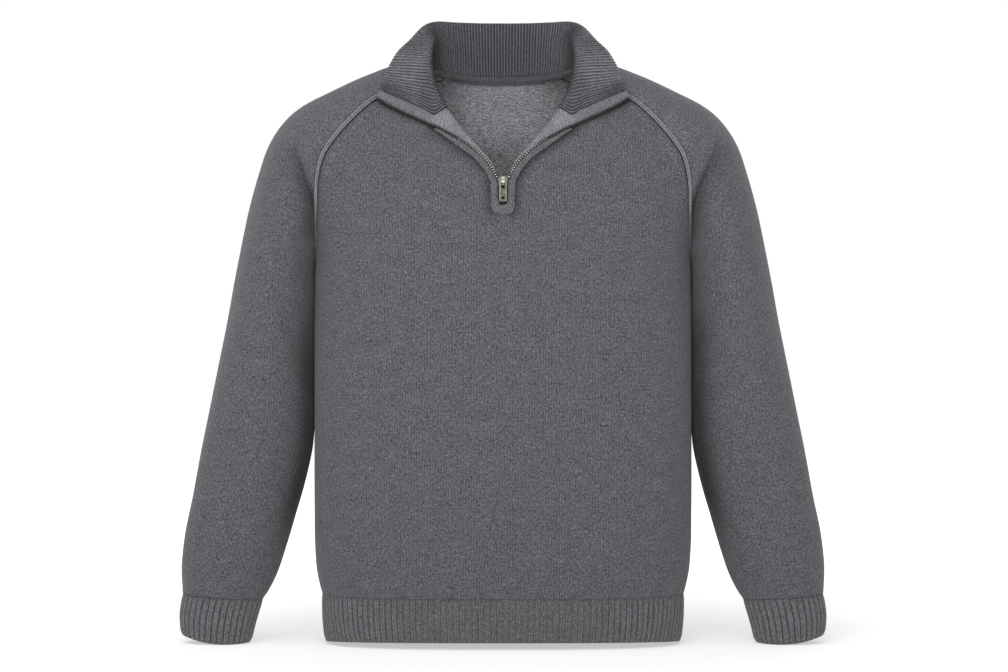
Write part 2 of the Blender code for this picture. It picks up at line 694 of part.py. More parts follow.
def make_hem():
    outer, inner = ribbed_ring(HEM_RINGS, hem_section, 2 * HEM_RIBS_PER_SIDE + 1, RIB_CLOTH,
                               HEM_RIB_RISE)
    for layer in (outer, inner):
        layer[:, [0, -1], 0] = 0.0
    wall("hem_rib", outer, inner, RIB, mirror=True)


def make_cuffs():
    count = 2 * CUFF_RIBS + 1
    rings = sleeve_ring_rows(CUFF_RINGS)
    outer, inner = ribbed_ring(rings, lambda row: ring(*row, count), count, RIB_CLOTH, CUFF_RIB_RISE)
    for side, word in ((1, "left"), (-1, "right")):
        wall("cuff_" + word, outer, inner, RIB, side, closed_from=0)


def strip(name, lines, normals, thickness, finish, sides=(1, -1), mirror=False):
    """A strip of cloth through these lines, whose inner face keeps the lines' own height."""
    lines, normals = np.stack(lines, axis=1), np.stack(normals, axis=1)
    for side in sides:
        word = "" if mirror else {1: "_left", -1: "_right"}[side]
        wall(name + word, lines + normals * thickness * MM, lines, finish, side, mirror=mirror)


def make_ridges(sleeve, sleeve_n, rows_on, rows_n, word):
    """Raised line along a raglan seam, made from the sleeve's points, moved out."""
    reach = unit(rows_on - sleeve)
    normals = unit(sleeve_n + rows_n * RIDGE_TURN)
    across = RIDGE_START + np.linspace(0.0, RIDGE_WIDTH, len(RIDGE_CLEARANCES))
    base = np.stack([sleeve + reach * over * MM + normals * lift * MM
                     for over, lift in zip(across, RIDGE_CLEARANCES)], axis=1)
    height = np.array([RIDGE_EDGE_RISE, RIDGE_RISE, RIDGE_EDGE_RISE])[None, :, None] * MM
    top = base + normals[:, None] * height
    first, second = (top, base) if word == "front" else (base, top)
    for side, hand in ((1, "left"), (-1, "right")):
        wall("raglan_ridge_%s_%s" % (word, hand), first, second, BAND, side)


def edge_lines(samples):
    """Ridge line and teeth line of the front edge, and the cloth's normal under each."""
    known = np.arange(len(FRONT_EDGE))
    wanted = np.linspace(0, len(FRONT_EDGE) - 1, samples)
    lifts = smooth(known, column(FRONT_EDGE, EDGE_COLUMNS, "stand_off"), wanted)
    lines = []
    for part in ("ridge", "teeth"):
        x = smooth(known, column(FRONT_EDGE, EDGE_COLUMNS, part + "_x"), wanted)
        z = smooth(known, column(FRONT_EDGE, EDGE_COLUMNS, part + "_z"), wanted)
        lines.append(np.stack([x, z], axis=1))
    return wanted, lines[0], lines[1], lifts


def on_front(place, lift):
    """Points on the front's outer face at these (x, z) places, lifted off it, and its normals."""
    x, z = place[:, 0], place[:, 1]
    small = 0.5 * MM
    slope_x = (front_y(x + small, z) - front_y(np.abs(x - small), z)) / (2 * small)
    slope_z = (front_y(x, z + small) - front_y(x, z - small)) / (2 * small)
    normals = unit(np.stack([slope_x, -np.ones_like(x), slope_z], axis=1))
    points = np.stack([x, front_y(x, z), z], axis=1)
    return points + normals * lift[:, None], normals


def make_front_edge():
    """Facing, zip tapes and outer band along both sides of the front opening."""
    wanted, ridge, teeth, lifts = edge_lines(EDGE_SAMPLES)
    lifts = lifts + EDGE_LIFT * MM
    across = unit(teeth - ridge)
    width = np.linalg.norm(teeth - ridge, axis=1)[:, None]
    half_tape = TAPE_WIDTH / 2 * MM
    gap = SEAM_GAP * MM
    lines, normals = zip(*(on_front(ridge + across * (width - half_tape - gap) * share, lifts)
                           for share in (0.0, 0.5, 1.0)))
    strip("zip_facing", lines, normals, FACING_CLOTH, BAND)
    lines, normals = zip(*(on_front(teeth + across * half_tape * share, lifts) for share in (-1, 1)))
    strip("zip_tape", lines, normals, TAPE_THICKNESS, TAPE)

    wanted, teeth, across = (line[BAND_FIRST_SAMPLE:] for line in (wanted, teeth, across))
    grown = np.clip((wanted - wanted[0]) / BAND_START_RUN + BAND_START, 0.0, 1.0)[:, None]
    inner = teeth + across * (half_tape + gap)
    outer = inner + across * BAND_WIDTH * MM * grown
    inner = np.concatenate([inner, np.array([row[:2] for row in BAND_FOOT]) * MM])
    outer = np.concatenate([outer, np.array([row[2:] for row in BAND_FOOT]) * MM])
    lift = np.full(len(inner), BAND_LIFT * MM)
    lines, normals = zip(*(on_front(inner + (outer - inner) * share, lift)
                           for share in (0.0, 0.5, 1.0)))
    for line, normal in zip(lines, normals):
        line[-1, 0] = normal[-1, 0] = 0.0
    strip("placket_band", lines, normals, CLOTH, BAND, sides=(1,), mirror=True)


def make_closed_zip():
    """The two joined rows below the slider, side by side in the foot of the opening."""
    heights = np.linspace(SLIDER_TOP_Z - CHAIN_TOP_DROP, ZIP_FOOT_Z + CHAIN_FOOT_RISE, CHAIN_ROWS) * MM
    for side, word in ((1, "left"), (-1, "right")):
        lines = []
        for over in (CHAIN_INNER, CHAIN_OUTER):
            x = np.full(CHAIN_ROWS, over * MM)
            lines.append(np.stack([x, front_y(x, heights) + CHAIN_SINK * MM, heights], axis=1))
        face = np.stack(lines, axis=1)
        back = face + np.array([0.0, TAPE_THICKNESS, 0.0]) * MM
        wall("zip_chain_" + word, face, back, TAPE, side)


def zip_frame():
    """A frame on the closed zip's face at the top of the slider: x across, -z down it, -y out."""
    height = SLIDER_TOP_Z * MM
    top = (0.0, float(front_y(0.0, height)) + CHAIN_SINK * MM, height)
    return (mathutils.Matrix.Translation(top)
            @ mathutils.Matrix.Rotation(math.radians(-SLIDER_LEAN), 4, "X"))


def block(name, half_width, top, bottom, low, high, corner=0.0):
    """A block on the zip: half_width across, from top down to bottom, from low out to high."""
    mesh = bmesh.new()
    bmesh.ops.create_cube(mesh, size=1.0)
    for vertex in mesh.verts:
        vertex.co.x *= 2 * half_width * MM
        vertex.co.y = (-(low + high) / 2 + vertex.co.y * (high - low)) * MM
        vertex.co.z = (-(top + bottom) / 2 + vertex.co.z * (bottom - top)) * MM
    if corner:
        edges = [edge for edge in mesh.edges
                 if abs((edge.verts[0].co - edge.verts[1].co).normalized().y) > 0.9]
        bmesh.ops.bevel(mesh, geom=edges, offset=corner * MM, segments=5, profile=0.5,
                        affect="EDGES")
    return helper(name, mesh)


def rod(name, radius, half_length, down, out, squash=1.0, axis="X", segments=24):
    """A rod about an axis, whose middle lies this far down the zip and out of it."""
    mesh = bmesh.new()
    bmesh.ops.create_cone(mesh, cap_ends=True, segments=segments, radius1=radius * MM,
                          radius2=radius * MM, depth=2 * half_length * MM)
    turn = mathutils.Matrix.Rotation(math.pi / 2, 4, "Y" if axis == "X" else "X")
    mesh.transform(mathutils.Matrix.Diagonal((1.0, 1.0, squash, 1.0)) @ turn)
    mesh.transform(mathutils.Matrix.Translation((0.0, -out * MM, -down * MM)))
    return helper(name, mesh)


def helper(name, mesh):
    """An object made from this bmesh, kept with the cutters and out of the model."""
    bmesh.ops.recalc_face_normals(mesh, faces=mesh.faces)
    data = bpy.data.meshes.new(name)
    mesh.to_mesh(data)
    mesh.free()
    obj = bpy.data.objects.new(name, data)
    obj.hide_render = True
    bpy.data.collections[CUTTERS].objects.link(obj)
    return obj


def shaped(name, base, joins, cuts, finish):
    """The base as a piece of its own, joined with some helpers and cut by others."""
    obj = bpy.data.objects.new(name, base.data)
    bpy.data.objects.remove(base)
    bpy.data.collections[COLLECTION].objects.link(obj)
    for operation, others in (("UNION", joins), ("DIFFERENCE", cuts)):
        for other in others:
            modifier = obj.modifiers.new(other.name, "BOOLEAN")
            modifier.operation = operation
            modifier.solver = "EXACT"
            modifier.object = other
    set_material(obj, *finish)
    return obj


def make_crown(pivot_out):
    """Hump on the slider that the pull tab's bar turns in, drawn from the side."""
    radius = TUNNEL_RADIUS + CROWN_WALL
    foot = SLIDER_CLEARANCE + SLIDER_PLATE / 2
    turns = np.linspace(0.0, math.radians(CROWN_TURN), CROWN_STEPS)
    profile = [(PIVOT_DROP + radius, foot)]
    profile += [(PIVOT_DROP + radius * math.cos(turn), pivot_out + radius * math.sin(turn))
                for turn in turns]
    profile += [(CROWN_START, foot + CROWN_START_RISE), (CROWN_START, foot)]
    mesh = bmesh.new()
    loops = [[mesh.verts.new((across * MM, -out * MM, -down * MM)) for down, out in profile]
             for across in (-CROWN_WIDTH / 2, CROWN_WIDTH / 2)]
    count = len(profile)
    mesh.faces.new(loops[0])
    mesh.faces.new(loops[1][::-1])
    for k in range(count):
        mesh.faces.new((loops[0][k], loops[1][k], loops[1][(k + 1) % count], loops[0][(k + 1) % count]))
    return helper("crown", mesh)


def make_slider_and_tab():
    """Slider with a plate on each face of the zip and a neck between, and the tab that hangs in it."""
    face = SLIDER_CLEARANCE + SLIDER_PLATE
    pivot_out = face + PIVOT_RISE
    behind = -(TAPE_THICKNESS + SLIDER_CLEARANCE)
    half = SLIDER_WIDTH / 2
    plate = block("plate", half, 0.0, SLIDER_LENGTH, SLIDER_CLEARANCE, face, SLIDER_CORNER)
    rear = block("rear_plate", half - REAR_INSET, REAR_START, REAR_END, behind - REAR_PLATE, behind,
                 REAR_CORNER)
    neck = block("neck", SLIDER_NECK_WIDTH / 2, SLIDER_NECK_START,
                 SLIDER_NECK_START + SLIDER_NECK_LENGTH, behind - REAR_PLATE / 2,
                 face - SLIDER_PLATE / 2)
    tunnel = rod("tunnel", TUNNEL_RADIUS, CROWN_WIDTH, PIVOT_DROP, pivot_out)
    slider = shaped("slider", plate, (rear, neck, make_crown(pivot_out)), (tunnel,), METAL)

    reach = TAB_THICKNESS / 2
    tab = block("tab", TAB_WIDTH / 2, -TAB_BAR, TAB_LENGTH - TAB_BAR, -reach, reach, TAB_CORNER)
    slot = block("slot", TAB_SLOT_WIDTH / 2, TAB_BAR, TAB_BAR + TAB_SLOT_LENGTH, -TAB_THICKNESS,
                 TAB_THICKNESS)
    hole = rod("tab_hole", TAB_HOLE_WIDTH / 2, TAB_THICKNESS, TAB_HOLE_DROP, 0.0,
               TAB_HOLE_LENGTH / TAB_HOLE_WIDTH, axis="Y")
    pull = shaped("pull_tab", tab, (), (slot, hole), METAL)

    frame = zip_frame()
    pivot = mathutils.Matrix.Translation((0.0, -pivot_out * MM, -PIVOT_DROP * MM))
    for obj in (slider, rear, neck, bpy.data.objects["crown"], tunnel):
        obj.matrix_world = frame
    for obj in (pull, slot, hole):
        obj.matrix_world = frame @ pivot


def main():
    for obj in list(bpy.data.objects):
        bpy.data.objects.remove(obj, do_unlink=True)
    for title in (COLLECTION, CUTTERS):
        bpy.context.scene.collection.children.link(bpy.data.collections.new(title))
    (front, front_n), (back, back_n), (sleeve, sleeve_n) = panels()
    half_gap = SEAM_GAP / 2
    side_edge, side_in = (slice(None), -1), (slice(None), -2)
    for name, grid, grid_n in (("front_panel", front, front_n), ("back_panel", back, back_n)):
        outer = pulled_in(grid, side_edge, side_in, half_gap)
        inner = pulled_in(grid - grid_n * CLOTH * MM, side_edge, side_in, half_gap)
        if name == "back_panel":
            outer, inner = inner, outer
        wall(name, outer, inner, KNIT, mirror=True)

    walls = []
    for layer in (sleeve, sleeve - sleeve_n * CLOTH * MM):
        top = slice(0, RAGLAN_ROWS - 1)
        layer = pulled_in(layer, (top, 0), (top, 1), half_gap)
        layer = pulled_in(layer, (top, -1), (top, -2), half_gap)
        layer[RAGLAN_ROWS - 1, [0, -1]] += np.array([WRAP_STEP, 0.0, -WRAP_STEP]) * MM
        walls.append(layer)
    for side, word in ((1, "left"), (-1, "right")):
        wall("sleeve_" + word, walls[0], walls[1], KNIT, side, RAGLAN_ROWS - 1)

    neck = neck_line(front, front_n, back, back_n, sleeve, sleeve_n)
    collar = collar_grid(neck)
    collar_n = -grid_normals(collar)
    collar_n[0, :, 0] = 0.0
    collar_n = unit(collar_n)
    outer, inner = ribbed(collar, collar_n, COLLAR_CLOTH, COLLAR_RIB_RISE)
    wall("collar", inner, outer, RIB, mirror=True)
    make_hem()
    make_cuffs()
    upper = slice(0, RAGLAN_ROWS - 2)
    make_ridges(sleeve[upper, 0], sleeve_n[upper, 0], sleeve[upper, 1], sleeve_n[upper, 1], "front")
    make_ridges(sleeve[upper, -1], sleeve_n[upper, -1], sleeve[upper, -2], sleeve_n[upper, -2],
                "back")
    make_front_edge()
    make_closed_zip()
    make_slider_and_tab()


main()
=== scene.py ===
"""Looks of the quarter-zip raglan sweater: fine grey jersey, ribbed collar, cuffs and hem, and a
short metal zip. The front faces -Y and the neck is up; sizes in the tables are in millimetres."""
import math

import bpy
import numpy as np
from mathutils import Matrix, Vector


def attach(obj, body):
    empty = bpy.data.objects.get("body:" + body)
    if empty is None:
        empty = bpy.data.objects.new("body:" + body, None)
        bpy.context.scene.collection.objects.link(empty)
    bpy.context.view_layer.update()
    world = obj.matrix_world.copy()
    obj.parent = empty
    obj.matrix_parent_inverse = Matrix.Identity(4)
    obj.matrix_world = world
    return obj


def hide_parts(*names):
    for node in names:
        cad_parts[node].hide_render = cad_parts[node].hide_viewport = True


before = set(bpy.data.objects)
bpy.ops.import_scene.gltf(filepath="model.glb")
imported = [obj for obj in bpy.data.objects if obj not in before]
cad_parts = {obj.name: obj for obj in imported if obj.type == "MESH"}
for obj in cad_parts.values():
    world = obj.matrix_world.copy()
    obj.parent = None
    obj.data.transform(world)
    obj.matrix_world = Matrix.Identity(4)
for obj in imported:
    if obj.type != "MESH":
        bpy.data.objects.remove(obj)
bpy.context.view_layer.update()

MM = 0.001
HANDS = ((1, "left"), (-1, "right"))

# --------- camera, light and floor
IMAGE = (1008, 672)
PHOTO_SCALE = 1.2
PHOTO_MIDDLE_X = 503
PHOTO_NECK_Y = 90
CAMERA_AWAY = 3.6
SENSOR = 36.0
LAMPS_AIM_AT = (0.0, 0.0, -0.25)
FLOOR_Z = -661.6
FLOOR_SIZE = 12.0
ROOM_LIGHT = 0.34
# Name, place, size, watts
SOFT_BOXES = (("soft_box_front", (-0.3, -3.4, 1.2), 2.2, 63.0),
              ("soft_box_above", (-0.7, -1.1, 2.6), 2.4, 32.0),
              ("soft_box_behind", (0.6, 3.0, 1.8), 2.4, 22.0))
# How strongly the floor glows with painted light at two distances from the middle
FLOOR_GLOW = ((0.30, 0.55), (1.6, 1.0))


# --------- sizes shared with the solids
def table(names, *rows):
    """Rows of millimetres as named columns of metres. An along column holds shares, and is read
    with the millimetres taken off again."""
    return {name: np.array([row[k] for row in rows], float) * MM
            for k, name in enumerate(names.split())}


CLOTH = 2.0
COLLAR_CLOTH = 2.2
SEAM_GAP = 0.3
UNDERARM_Z = -222.0
BODY_END_Z = -601.8
HEM_END_Z = -652.0
ZIP_FOOT_Z = -150.0
SLIDER_TOP_Z = -110.0
BODY_SQUARENESS = 2.7
RAGLAN = table(
    "along front_x front_y front_z top_x top_z back_x back_y back_z front_swell back_swell "
    "spine_y spine_z",
    (0.00, 86, -24, 11, 88, 24, 70, 46, 19, 24, 46, 70, 12),
    (0.12, 118, -43, 0, 126, 29, 104, 68, 6, 43, 68, 84, -5),
    (0.25, 149, -58, -15, 161, 18, 138, 83, -13, 59, 84, 97, -22),
    (0.40, 178, -70, -41, 205, -2, 172, 93, -41, 71, 94, 108, -46),
    (0.50, 197, -76, -63, 240, -20, 194, 96, -66, 77, 97, 113, -68),
    (0.60, 211, -78, -85, 263, -40, 209, 93, -92, 80, 96, 116, -92),
    (0.70, 218, -72, -113, 281, -68, 216, 84, -120, 79, 91, 118, -120),
    (0.80, 220, -60, -143, 293, -103, 219, 66, -152, 80, 86, 118, -152),
    (0.90, 222, -36, -184, 304, -143, 222, 38, -190, 79, 81, 117, -190),
    (1.00, 225, 0, UNDERARM_Z, 312, -180, 225, 0, UNDERARM_Z, 77, 78, 115, UNDERARM_Z),
)
RING = "inner_x inner_z outer_x outer_z mid_y half_depth"
SLEEVE_RINGS = table(
    RING,
    (225, -222, 312, -180, 0.5, 77.5),
    (227.0, -264, 321.5, -228, 1, 76),
    (227.6, -312, 331, -280, 2, 72),
    (228.0, -364, 342, -334, 2, 67),
    (229.5, -414, 352.5, -386, 1, 62),
    (236, -464, 362.5, -436, -1, 57),
    (248, -508, 371.5, -486, -4, 53),
    (258.5, -544, 380, -528, -7, 50),
    (269, -576, 384, -562, -9, 47),
    (279, -597, 384.5, -584, -10, 42.5),
    (287, -609, 383, -602.5, -11, 37.5),
)
CUFF_RINGS = table(
    RING,
    (286.7, -609.4, 383.2, -602.9, -11, 37),
    (295, -636, 386.5, -627, -12, 36.5),
    (301, -659, 385, -649.5, -13, 34.5),
)
SECTION = "height half_width front_depth back_depth"
BODY = table(
    SECTION,
    (UNDERARM_Z, 225, 117, 115),
    (-300, 225.5, 120, 116),
    (-400, 225.5, 121, 116),
    (-500, 225.5, 120.5, 115),
    (-552, 224.5, 119, 114),
    (-575, 222.5, 116.5, 111),
    (-590, 219.5, 113, 107.5),
    (BODY_END_Z, 216.5, 109, 104.5),
)
HEM_RINGS = table(
    SECTION,
    (-602.1, 216.6, 109.1, 104.6),
    (-628, 216.2, 109.5, 105),
    (HEM_END_Z, 213.5, 107, 102.5),
)
CHEST = table(
    "height depth", (11, 44), (2, 52), (-12, 65), (-26, 76), (-41, 85), (-63, 94), (-85, 99),
    (-111, 103.5), (-150, 109), (-186, 113.5), (UNDERARM_Z, 117))
OPENING = table(
    "height half_gap", (ZIP_FOOT_Z, 6.5), (-114, 6.5), (-104.5, 9.5), (-93, 15.5),
    (-82.5, 23.5), (-72.5, 33), (-61.5, 42), (-51, 51), (-39.5, 60), (-28, 69), (-12, 77.5),
    (2, 82.5), (11, 85))
COLLAR = table(
    "along crest_x crest_y crest_z edge_x edge_y edge_z",
    (0.00, 0, 78, 50, 0, 84, 88.5),
    (0.13, 29, 76, 51, 30, 82, 88.5),
    (0.26, 56, 66, 55, 59, 72, 88.5),
    (0.39, 77, 47, 62, 83, 50, 87),
    (0.51, 85, 23, 68, 98, 27, 78),
    (0.61, 87, 1, 58, 112, 2, 60),
    (0.71, 88, -19, 40, 126, -17, 44),
    (0.80, 86, -40, 20, 136, -38, 24),
    (0.90, 81, -62, -8, 142, -56, 5),
    (1.00, 79.5, -78.5, -35.5, 144.5, -64, -9),
)
FRONT_EDGE = table(
    "ridge_x ridge_z teeth_x teeth_z stand_off",
    (144.2, -11.4, 147.2, -19.4, 4.4),
    (127, -17.5, 134, -27, 3.4),
    (109, -25, 118, -35, 3.2),
    (92, -32.5, 101, -42.5, 2.8),
    (80, -38.5, 86, -49, 2.2),
    (67.5, -30, 73, -54, 1.2),
    (58.5, -39.5, 61, -60.5, 0.6),
    (49.5, -51, 50.5, -66, 0.4),
    (40.5, -61.5, 41, -72, 0.3),
    (31.5, -72.5, 32, -79, 0.3),
    (22, -82.5, 23.5, -86, 0.3),
    (14, -93, 15.5, -95.5, 0.3),
    (8, -104.5, 9.5, -106, 0.3),
)
EDGE_ROWS = np.arange(len(FRONT_EDGE["stand_off"]))
BAND_WIDTH = 7.0
# Inner x and z, outer x and z of the band below the opening
BAND_FOOT = ((6.7, -118, 13.4, -116), (6.7, -128, 13.4, -128), (6.6, -135, 13.4, -140),
             (6.1, -139, 13.0, -145.5), (5.0, -141.4, 11.4, -149.8), (3.4, -142.8, 8.4, -152.6),
             (1.7, -143.3, 4.4, -153.8), (0, -143.4, 0, -154.2))
TAPE_WIDTH = 2.6
COLLAR_FRONT_Z = -28.0
COLLAR_GAP = 0.5
COLLAR_SEAM_RISE = 2.8
COLLAR_FOLD_HEIGHT = 3.9
COLLAR_FOLD_FROM = 0.74
COLLAR_END_FROM = 0.86
COLLAR_END_GAP = 1.8
COLLAR_TIP_Y = -62.5

# --------- sizes of the detail
JERSEY_WALL = 1.8
RIB_WALL = 2.0
COLLAR_WALL = 1.9
PANEL_CELLS = 84
YOKE_ROWS = 64
YOKE = YOKE_ROWS - 1
BODY_ROWS = 84
OUTWARDS = 1.0 - (1.0 - np.linspace(0.0, 1.0, PANEL_CELLS + 1)) ** 1.3
LOWER_HEIGHTS = np.linspace(UNDERARM_Z, BODY_END_Z, BODY_ROWS)[1:] * MM
SLEEVE_CELLS = 62
SLEEVE_ROWS = 104
COLLAR_RIBS = 62
COLLAR_RIB_STEPS = 8
COLLAR_BANDS = 36
HEM_RIBS = 75
CUFF_RIBS = 34
RIB_PITCH = 7.6
RIB_STEPS = 10
RIB_ROWS = 16
RIB_LEVELS = np.linspace(0, 2, RIB_ROWS + 1)
COLLAR_RIB_RISE = 0.75
COLLAR_RIB_PITCH = 4.8
RIB_RISE = 1.0
RIB_FOOT_CURL = 1.9
RIB_SEAM_CURL = 0.5
HEM_DROP = (1.5, 8.5)
CUFF_DROP = (2.0, 4.2)
NECK_BINDING_REACH = 0.66
NECK_BINDING_WALL = 0.8
# Height on the collar, lift off it and shade of each line of the rolled neck edge
NECK_BINDING = (
    (0.5, 2.6, 1.5), (1.4, 3.0, 1.6), (2.2, 2.8, 1.1), (2.9, 2.5, 0.62), (4.2, 2.3, 0.78),
    (6.5, 2.0, 0.7), (8.6, 1.6, 0.5), (10.2, 0.9, 0.34), (11.6, -0.1, 0.3),
)
TOOTH_PITCH = 3.2
TEETH_END = ((8.0, -108.2), (6.2, -111.5))
TAB_LOWER_Z = -124.0
TAB_LONGER = 2.2
MARKS_FROM = 16.0
MARKS_TO = 196.0
MARK_PITCH = 12.5
MARK_OFFSET = 10.5
BEAD_PITCH = 3.2
BINDING_WIDTH = 4.9
BINDING_RISE = 1.6
BEAD_RISE = 0.6
FACING_RISE = 1.5
FACING_RISE_ON_COLLAR = 1.9
BAND_RISE = 1.7
TOOTH_SIZE = (2.0, 1.5, 1.7)
TOOTH_ROUNDING = 0.28
STITCH_SIZE = (0.65, 0.5, 2.3)
SEAM_DIP = 0.9
SEAM_DIP_WIDTH = 2.2
SEAM_SHADE = 0.5
EDGE_DIP = 2.4
EDGE_DIP_AT = 2.5
EDGE_DIP_WIDTH = 6.0
EDGE_SHADE = 0.42
EDGE_SHADE_WIDTH = 8.0
VALLEY_SHADE = 0.78
ARM_SHADE = 0.9
ARM_SHADE_WIDTH = 15.0
SHOULDER_LIGHT = 0.12
ARM_SWELL = 2.7
ARM_SHADE_LEVELS = (225, 345, 480, 560)
ARM_SWELL_LEVELS = (218, 262, 420, 475)
FACING_RIBBED = (3.6, 4.4, 5.6, 6.6)

# Soft troughs (+) and ridges (-): across, height, length, width, slant in degrees, depth
FRONT_FOLDS = (
    (154, -208, 62, 17, 37, 2.6), (-158, -214, 56, 15, -34, 2.3),
    (136, -252, 58, 20, 28, -1.2), (-138, -262, 60, 18, -26, -1.1),
    (176, -300, 64, 16, 22, 1.4), (-180, -318, 70, 15, -18, 1.2),
    (92, -558, 58, 22, 11, 2.4), (-76, -552, 62, 24, -13, 2.2),
    (14, -566, 40, 24, 4, 1.8), (-150, -570, 38, 18, -22, 2.0), (158, -572, 36, 17, 20, 1.8),
    (46, -470, 90, 30, 9, 1.2), (-40, -420, 110, 34, -7, 1.1), (118, -410, 90, 26, 12, -1.0),
    (-120, -470, 84, 28, -12, -1.0),
)
BACK_FOLDS = (
    (142, -204, 72, 20, 40, 3.2), (-146, -212, 66, 19, -42, 2.9),
    (122, -262, 70, 20, 34, -1.6), (-128, -272, 62, 18, -30, -1.5),
    (74, -558, 54, 24, 10, 2.8), (-62, -552, 60, 26, -9, 2.5), (8, -570, 36, 22, 2, 1.8),
    (150, -566, 40, 18, 18, 2.2), (-156, -572, 40, 18, -20, 2.0),
    (60, -380, 120, 32, 8, 1.6), (-46, -340, 130, 34, -6, 1.5), (0, -90, 40, 60, 0, 1.2),
)
SLEEVE_SPREAD = 440.0
SLEEVE_DROP = 700.0
SLEEVE_FOLDS = (
    (70, -335, 50, 17, 56, 3.0), (372, -350, 54, 18, -52, 3.4),
    (52, -385, 44, 13, 48, -1.6), (392, -398, 48, 14, -46, -1.8),
    (60, -470, 44, 18, 24, 2.2), (386, -500, 48, 19, -28, 2.6),
    (130, -560, 40, 17, -18, 1.8), (300, -590, 44, 18, 16, 1.8),
    (70, -640, 34, 14, 12, 2.4), (350, -650, 36, 14, -16, 2.2),
    (200, -662, 30, 14, 6, 1.6), (150, -655, 26, 11, -12, -1.2), (260, -640, 34, 13, 14, 1.4),
)
# Valleys of the underarm folds: side faced, line in (x, z), depth, width
UNDERARM_VALLEYS = {
    "left": ((-1, ((250, -80), (240, -98), (232, -114), (225, -130), (221, -146), (219, -170)), 6.5,
              7.0),
             (1, ((248, -92), (238, -116), (228, -136), (222, -156)), 4.0, 7.5)),
    "right": ((-1, ((242, -84), (232, -110), (224, -128), (220, -142), (218.5, -170)), 7.0, 7.0),
              (1, ((244, -88), (234, -110), (226, -134), (221, -150)), 3.6, 7.0)),
}


def smooth(known_at, known, wanted_at):
    """A smooth curve through the known values, read at the wanted places."""
    known_at = np.asarray(known_at, float)
    known = np.asarray(known, float)
    if known_at[0] > known_at[-1]:
        known_at, known = known_at[::-1], known[::-1]
    step = np.diff(known_at)
    rise = np.diff(known) / step
    slope = np.empty_like(known)
    slope[1:-1] = (rise[:-1] * step[1:] + rise[1:] * step[:-1]) / (step[:-1] + step[1:])
    slope[0], slope[-1] = rise[0], rise[-1]
    wanted = np.clip(np.asarray(wanted_at, float), known_at[0], known_at[-1])
    cell = np.clip(np.searchsorted(known_at, wanted) - 1, 0, len(step) - 1)
    t = (wanted - known_at[cell]) / step[cell]
    return ((2 * t**3 - 3 * t**2 + 1) * known[cell]
            + (t**3 - 2 * t**2 + t) * step[cell] * slope[cell]
            + (3 * t**2 - 2 * t**3) * known[cell + 1]
            + (t**3 - t**2) * step[cell] * slope[cell + 1])


def unit(vectors):
    length = np.linalg.norm(vectors, axis=-1, keepdims=True)
    return vectors / np.maximum(length, 1e-12)


def step_lengths(points, axis=0):
    return np.linalg.norm(np.diff(points, axis=axis), axis=-1)


def summed(steps):
    return np.concatenate([[0.0], np.cumsum(steps)])


def run_along(grid, axis):
    return summed(step_lengths(grid, axis).mean(axis=1 - axis))


def run_across(grid):
    """How far along its row each point of a grid lies."""
    return np.pad(np.cumsum(step_lengths(grid, 1), axis=1), ((0, 0), (1, 0)))


def uv_grid(rows, cols):
    return np.stack(np.meshgrid(rows, cols, indexing="ij"), axis=2)


def uv_down(over, grid):
    """UVs that run over as told, and down by the mean length of the grid's columns."""
    return np.stack([over, np.broadcast_to(-run_along(grid, 0)[:, None], over.shape)], axis=2)


def line_of(x, y, z):
    return np.stack([x, y, np.broadcast_to(z, x.shape)], axis=1)


def at_shares(points, shares):
    """Points of a line at these shares of its length."""
    along = summed(step_lengths(points))
    return np.stack([np.interp(shares * along[-1], along, points[:, k])
                     for k in range(points.shape[1])], axis=1)


def soft_step(value, low, high):
    t = np.clip((value - low) / (high - low), 0.0, 1.0)
    return t * t * (3 - 2 * t)


def soft_range(value, marks):
    """Rises from 0 to 1 between the first two marks and falls again between the last two."""
    return soft_step(value, *marks[:2]) * (1 - soft_step(value, *marks[2:]))


def bell(distance, width):
    return np.exp(-(distance / width) ** 2)


def raglan(name, along):
    """A measure of the raglan seam at these shares of its length."""
    return smooth(RAGLAN["along"] / MM, RAGLAN[name], along)


def seam_point(panel, share):
    return np.array([raglan(panel + axis, share) for axis in ("_x", "_y", "_z")], float)


def chest_depth(height):
    upper = smooth(CHEST["height"], CHEST["depth"], height)
    lower = smooth(BODY["height"], BODY["front_depth"], height)
    return np.where(np.asarray(height) > UNDERARM_Z * MM, upper, lower)


def reach_of(seam_x, seam_y, depth):
    share = np.clip(np.abs(seam_y) / depth, 0.0, 0.98) ** BODY_SQUARENESS
    return seam_x / (1.0 - share) ** (1.0 / BODY_SQUARENESS)


def front_reach(height):
    fine = np.linspace(0.0, 1.0, 401)
    heights = raglan("front_z", fine)
    reach = reach_of(raglan("front_x", fine), raglan("front_y", fine), chest_depth(heights))
    upper = np.interp(height, heights[::-1], reach[::-1])
    lower = smooth(BODY["height"], BODY["half_width"], height)
    return np.where(np.asarray(height) > UNDERARM_Z * MM, upper, lower)


def front_y(x, height):
    """Outer face of the front at this place."""
    share = np.clip(np.abs(x) / front_reach(height), 0.0, 1.0) ** BODY_SQUARENESS
    return -chest_depth(height) * (1.0 - share) ** (1.0 / BODY_SQUARENESS)


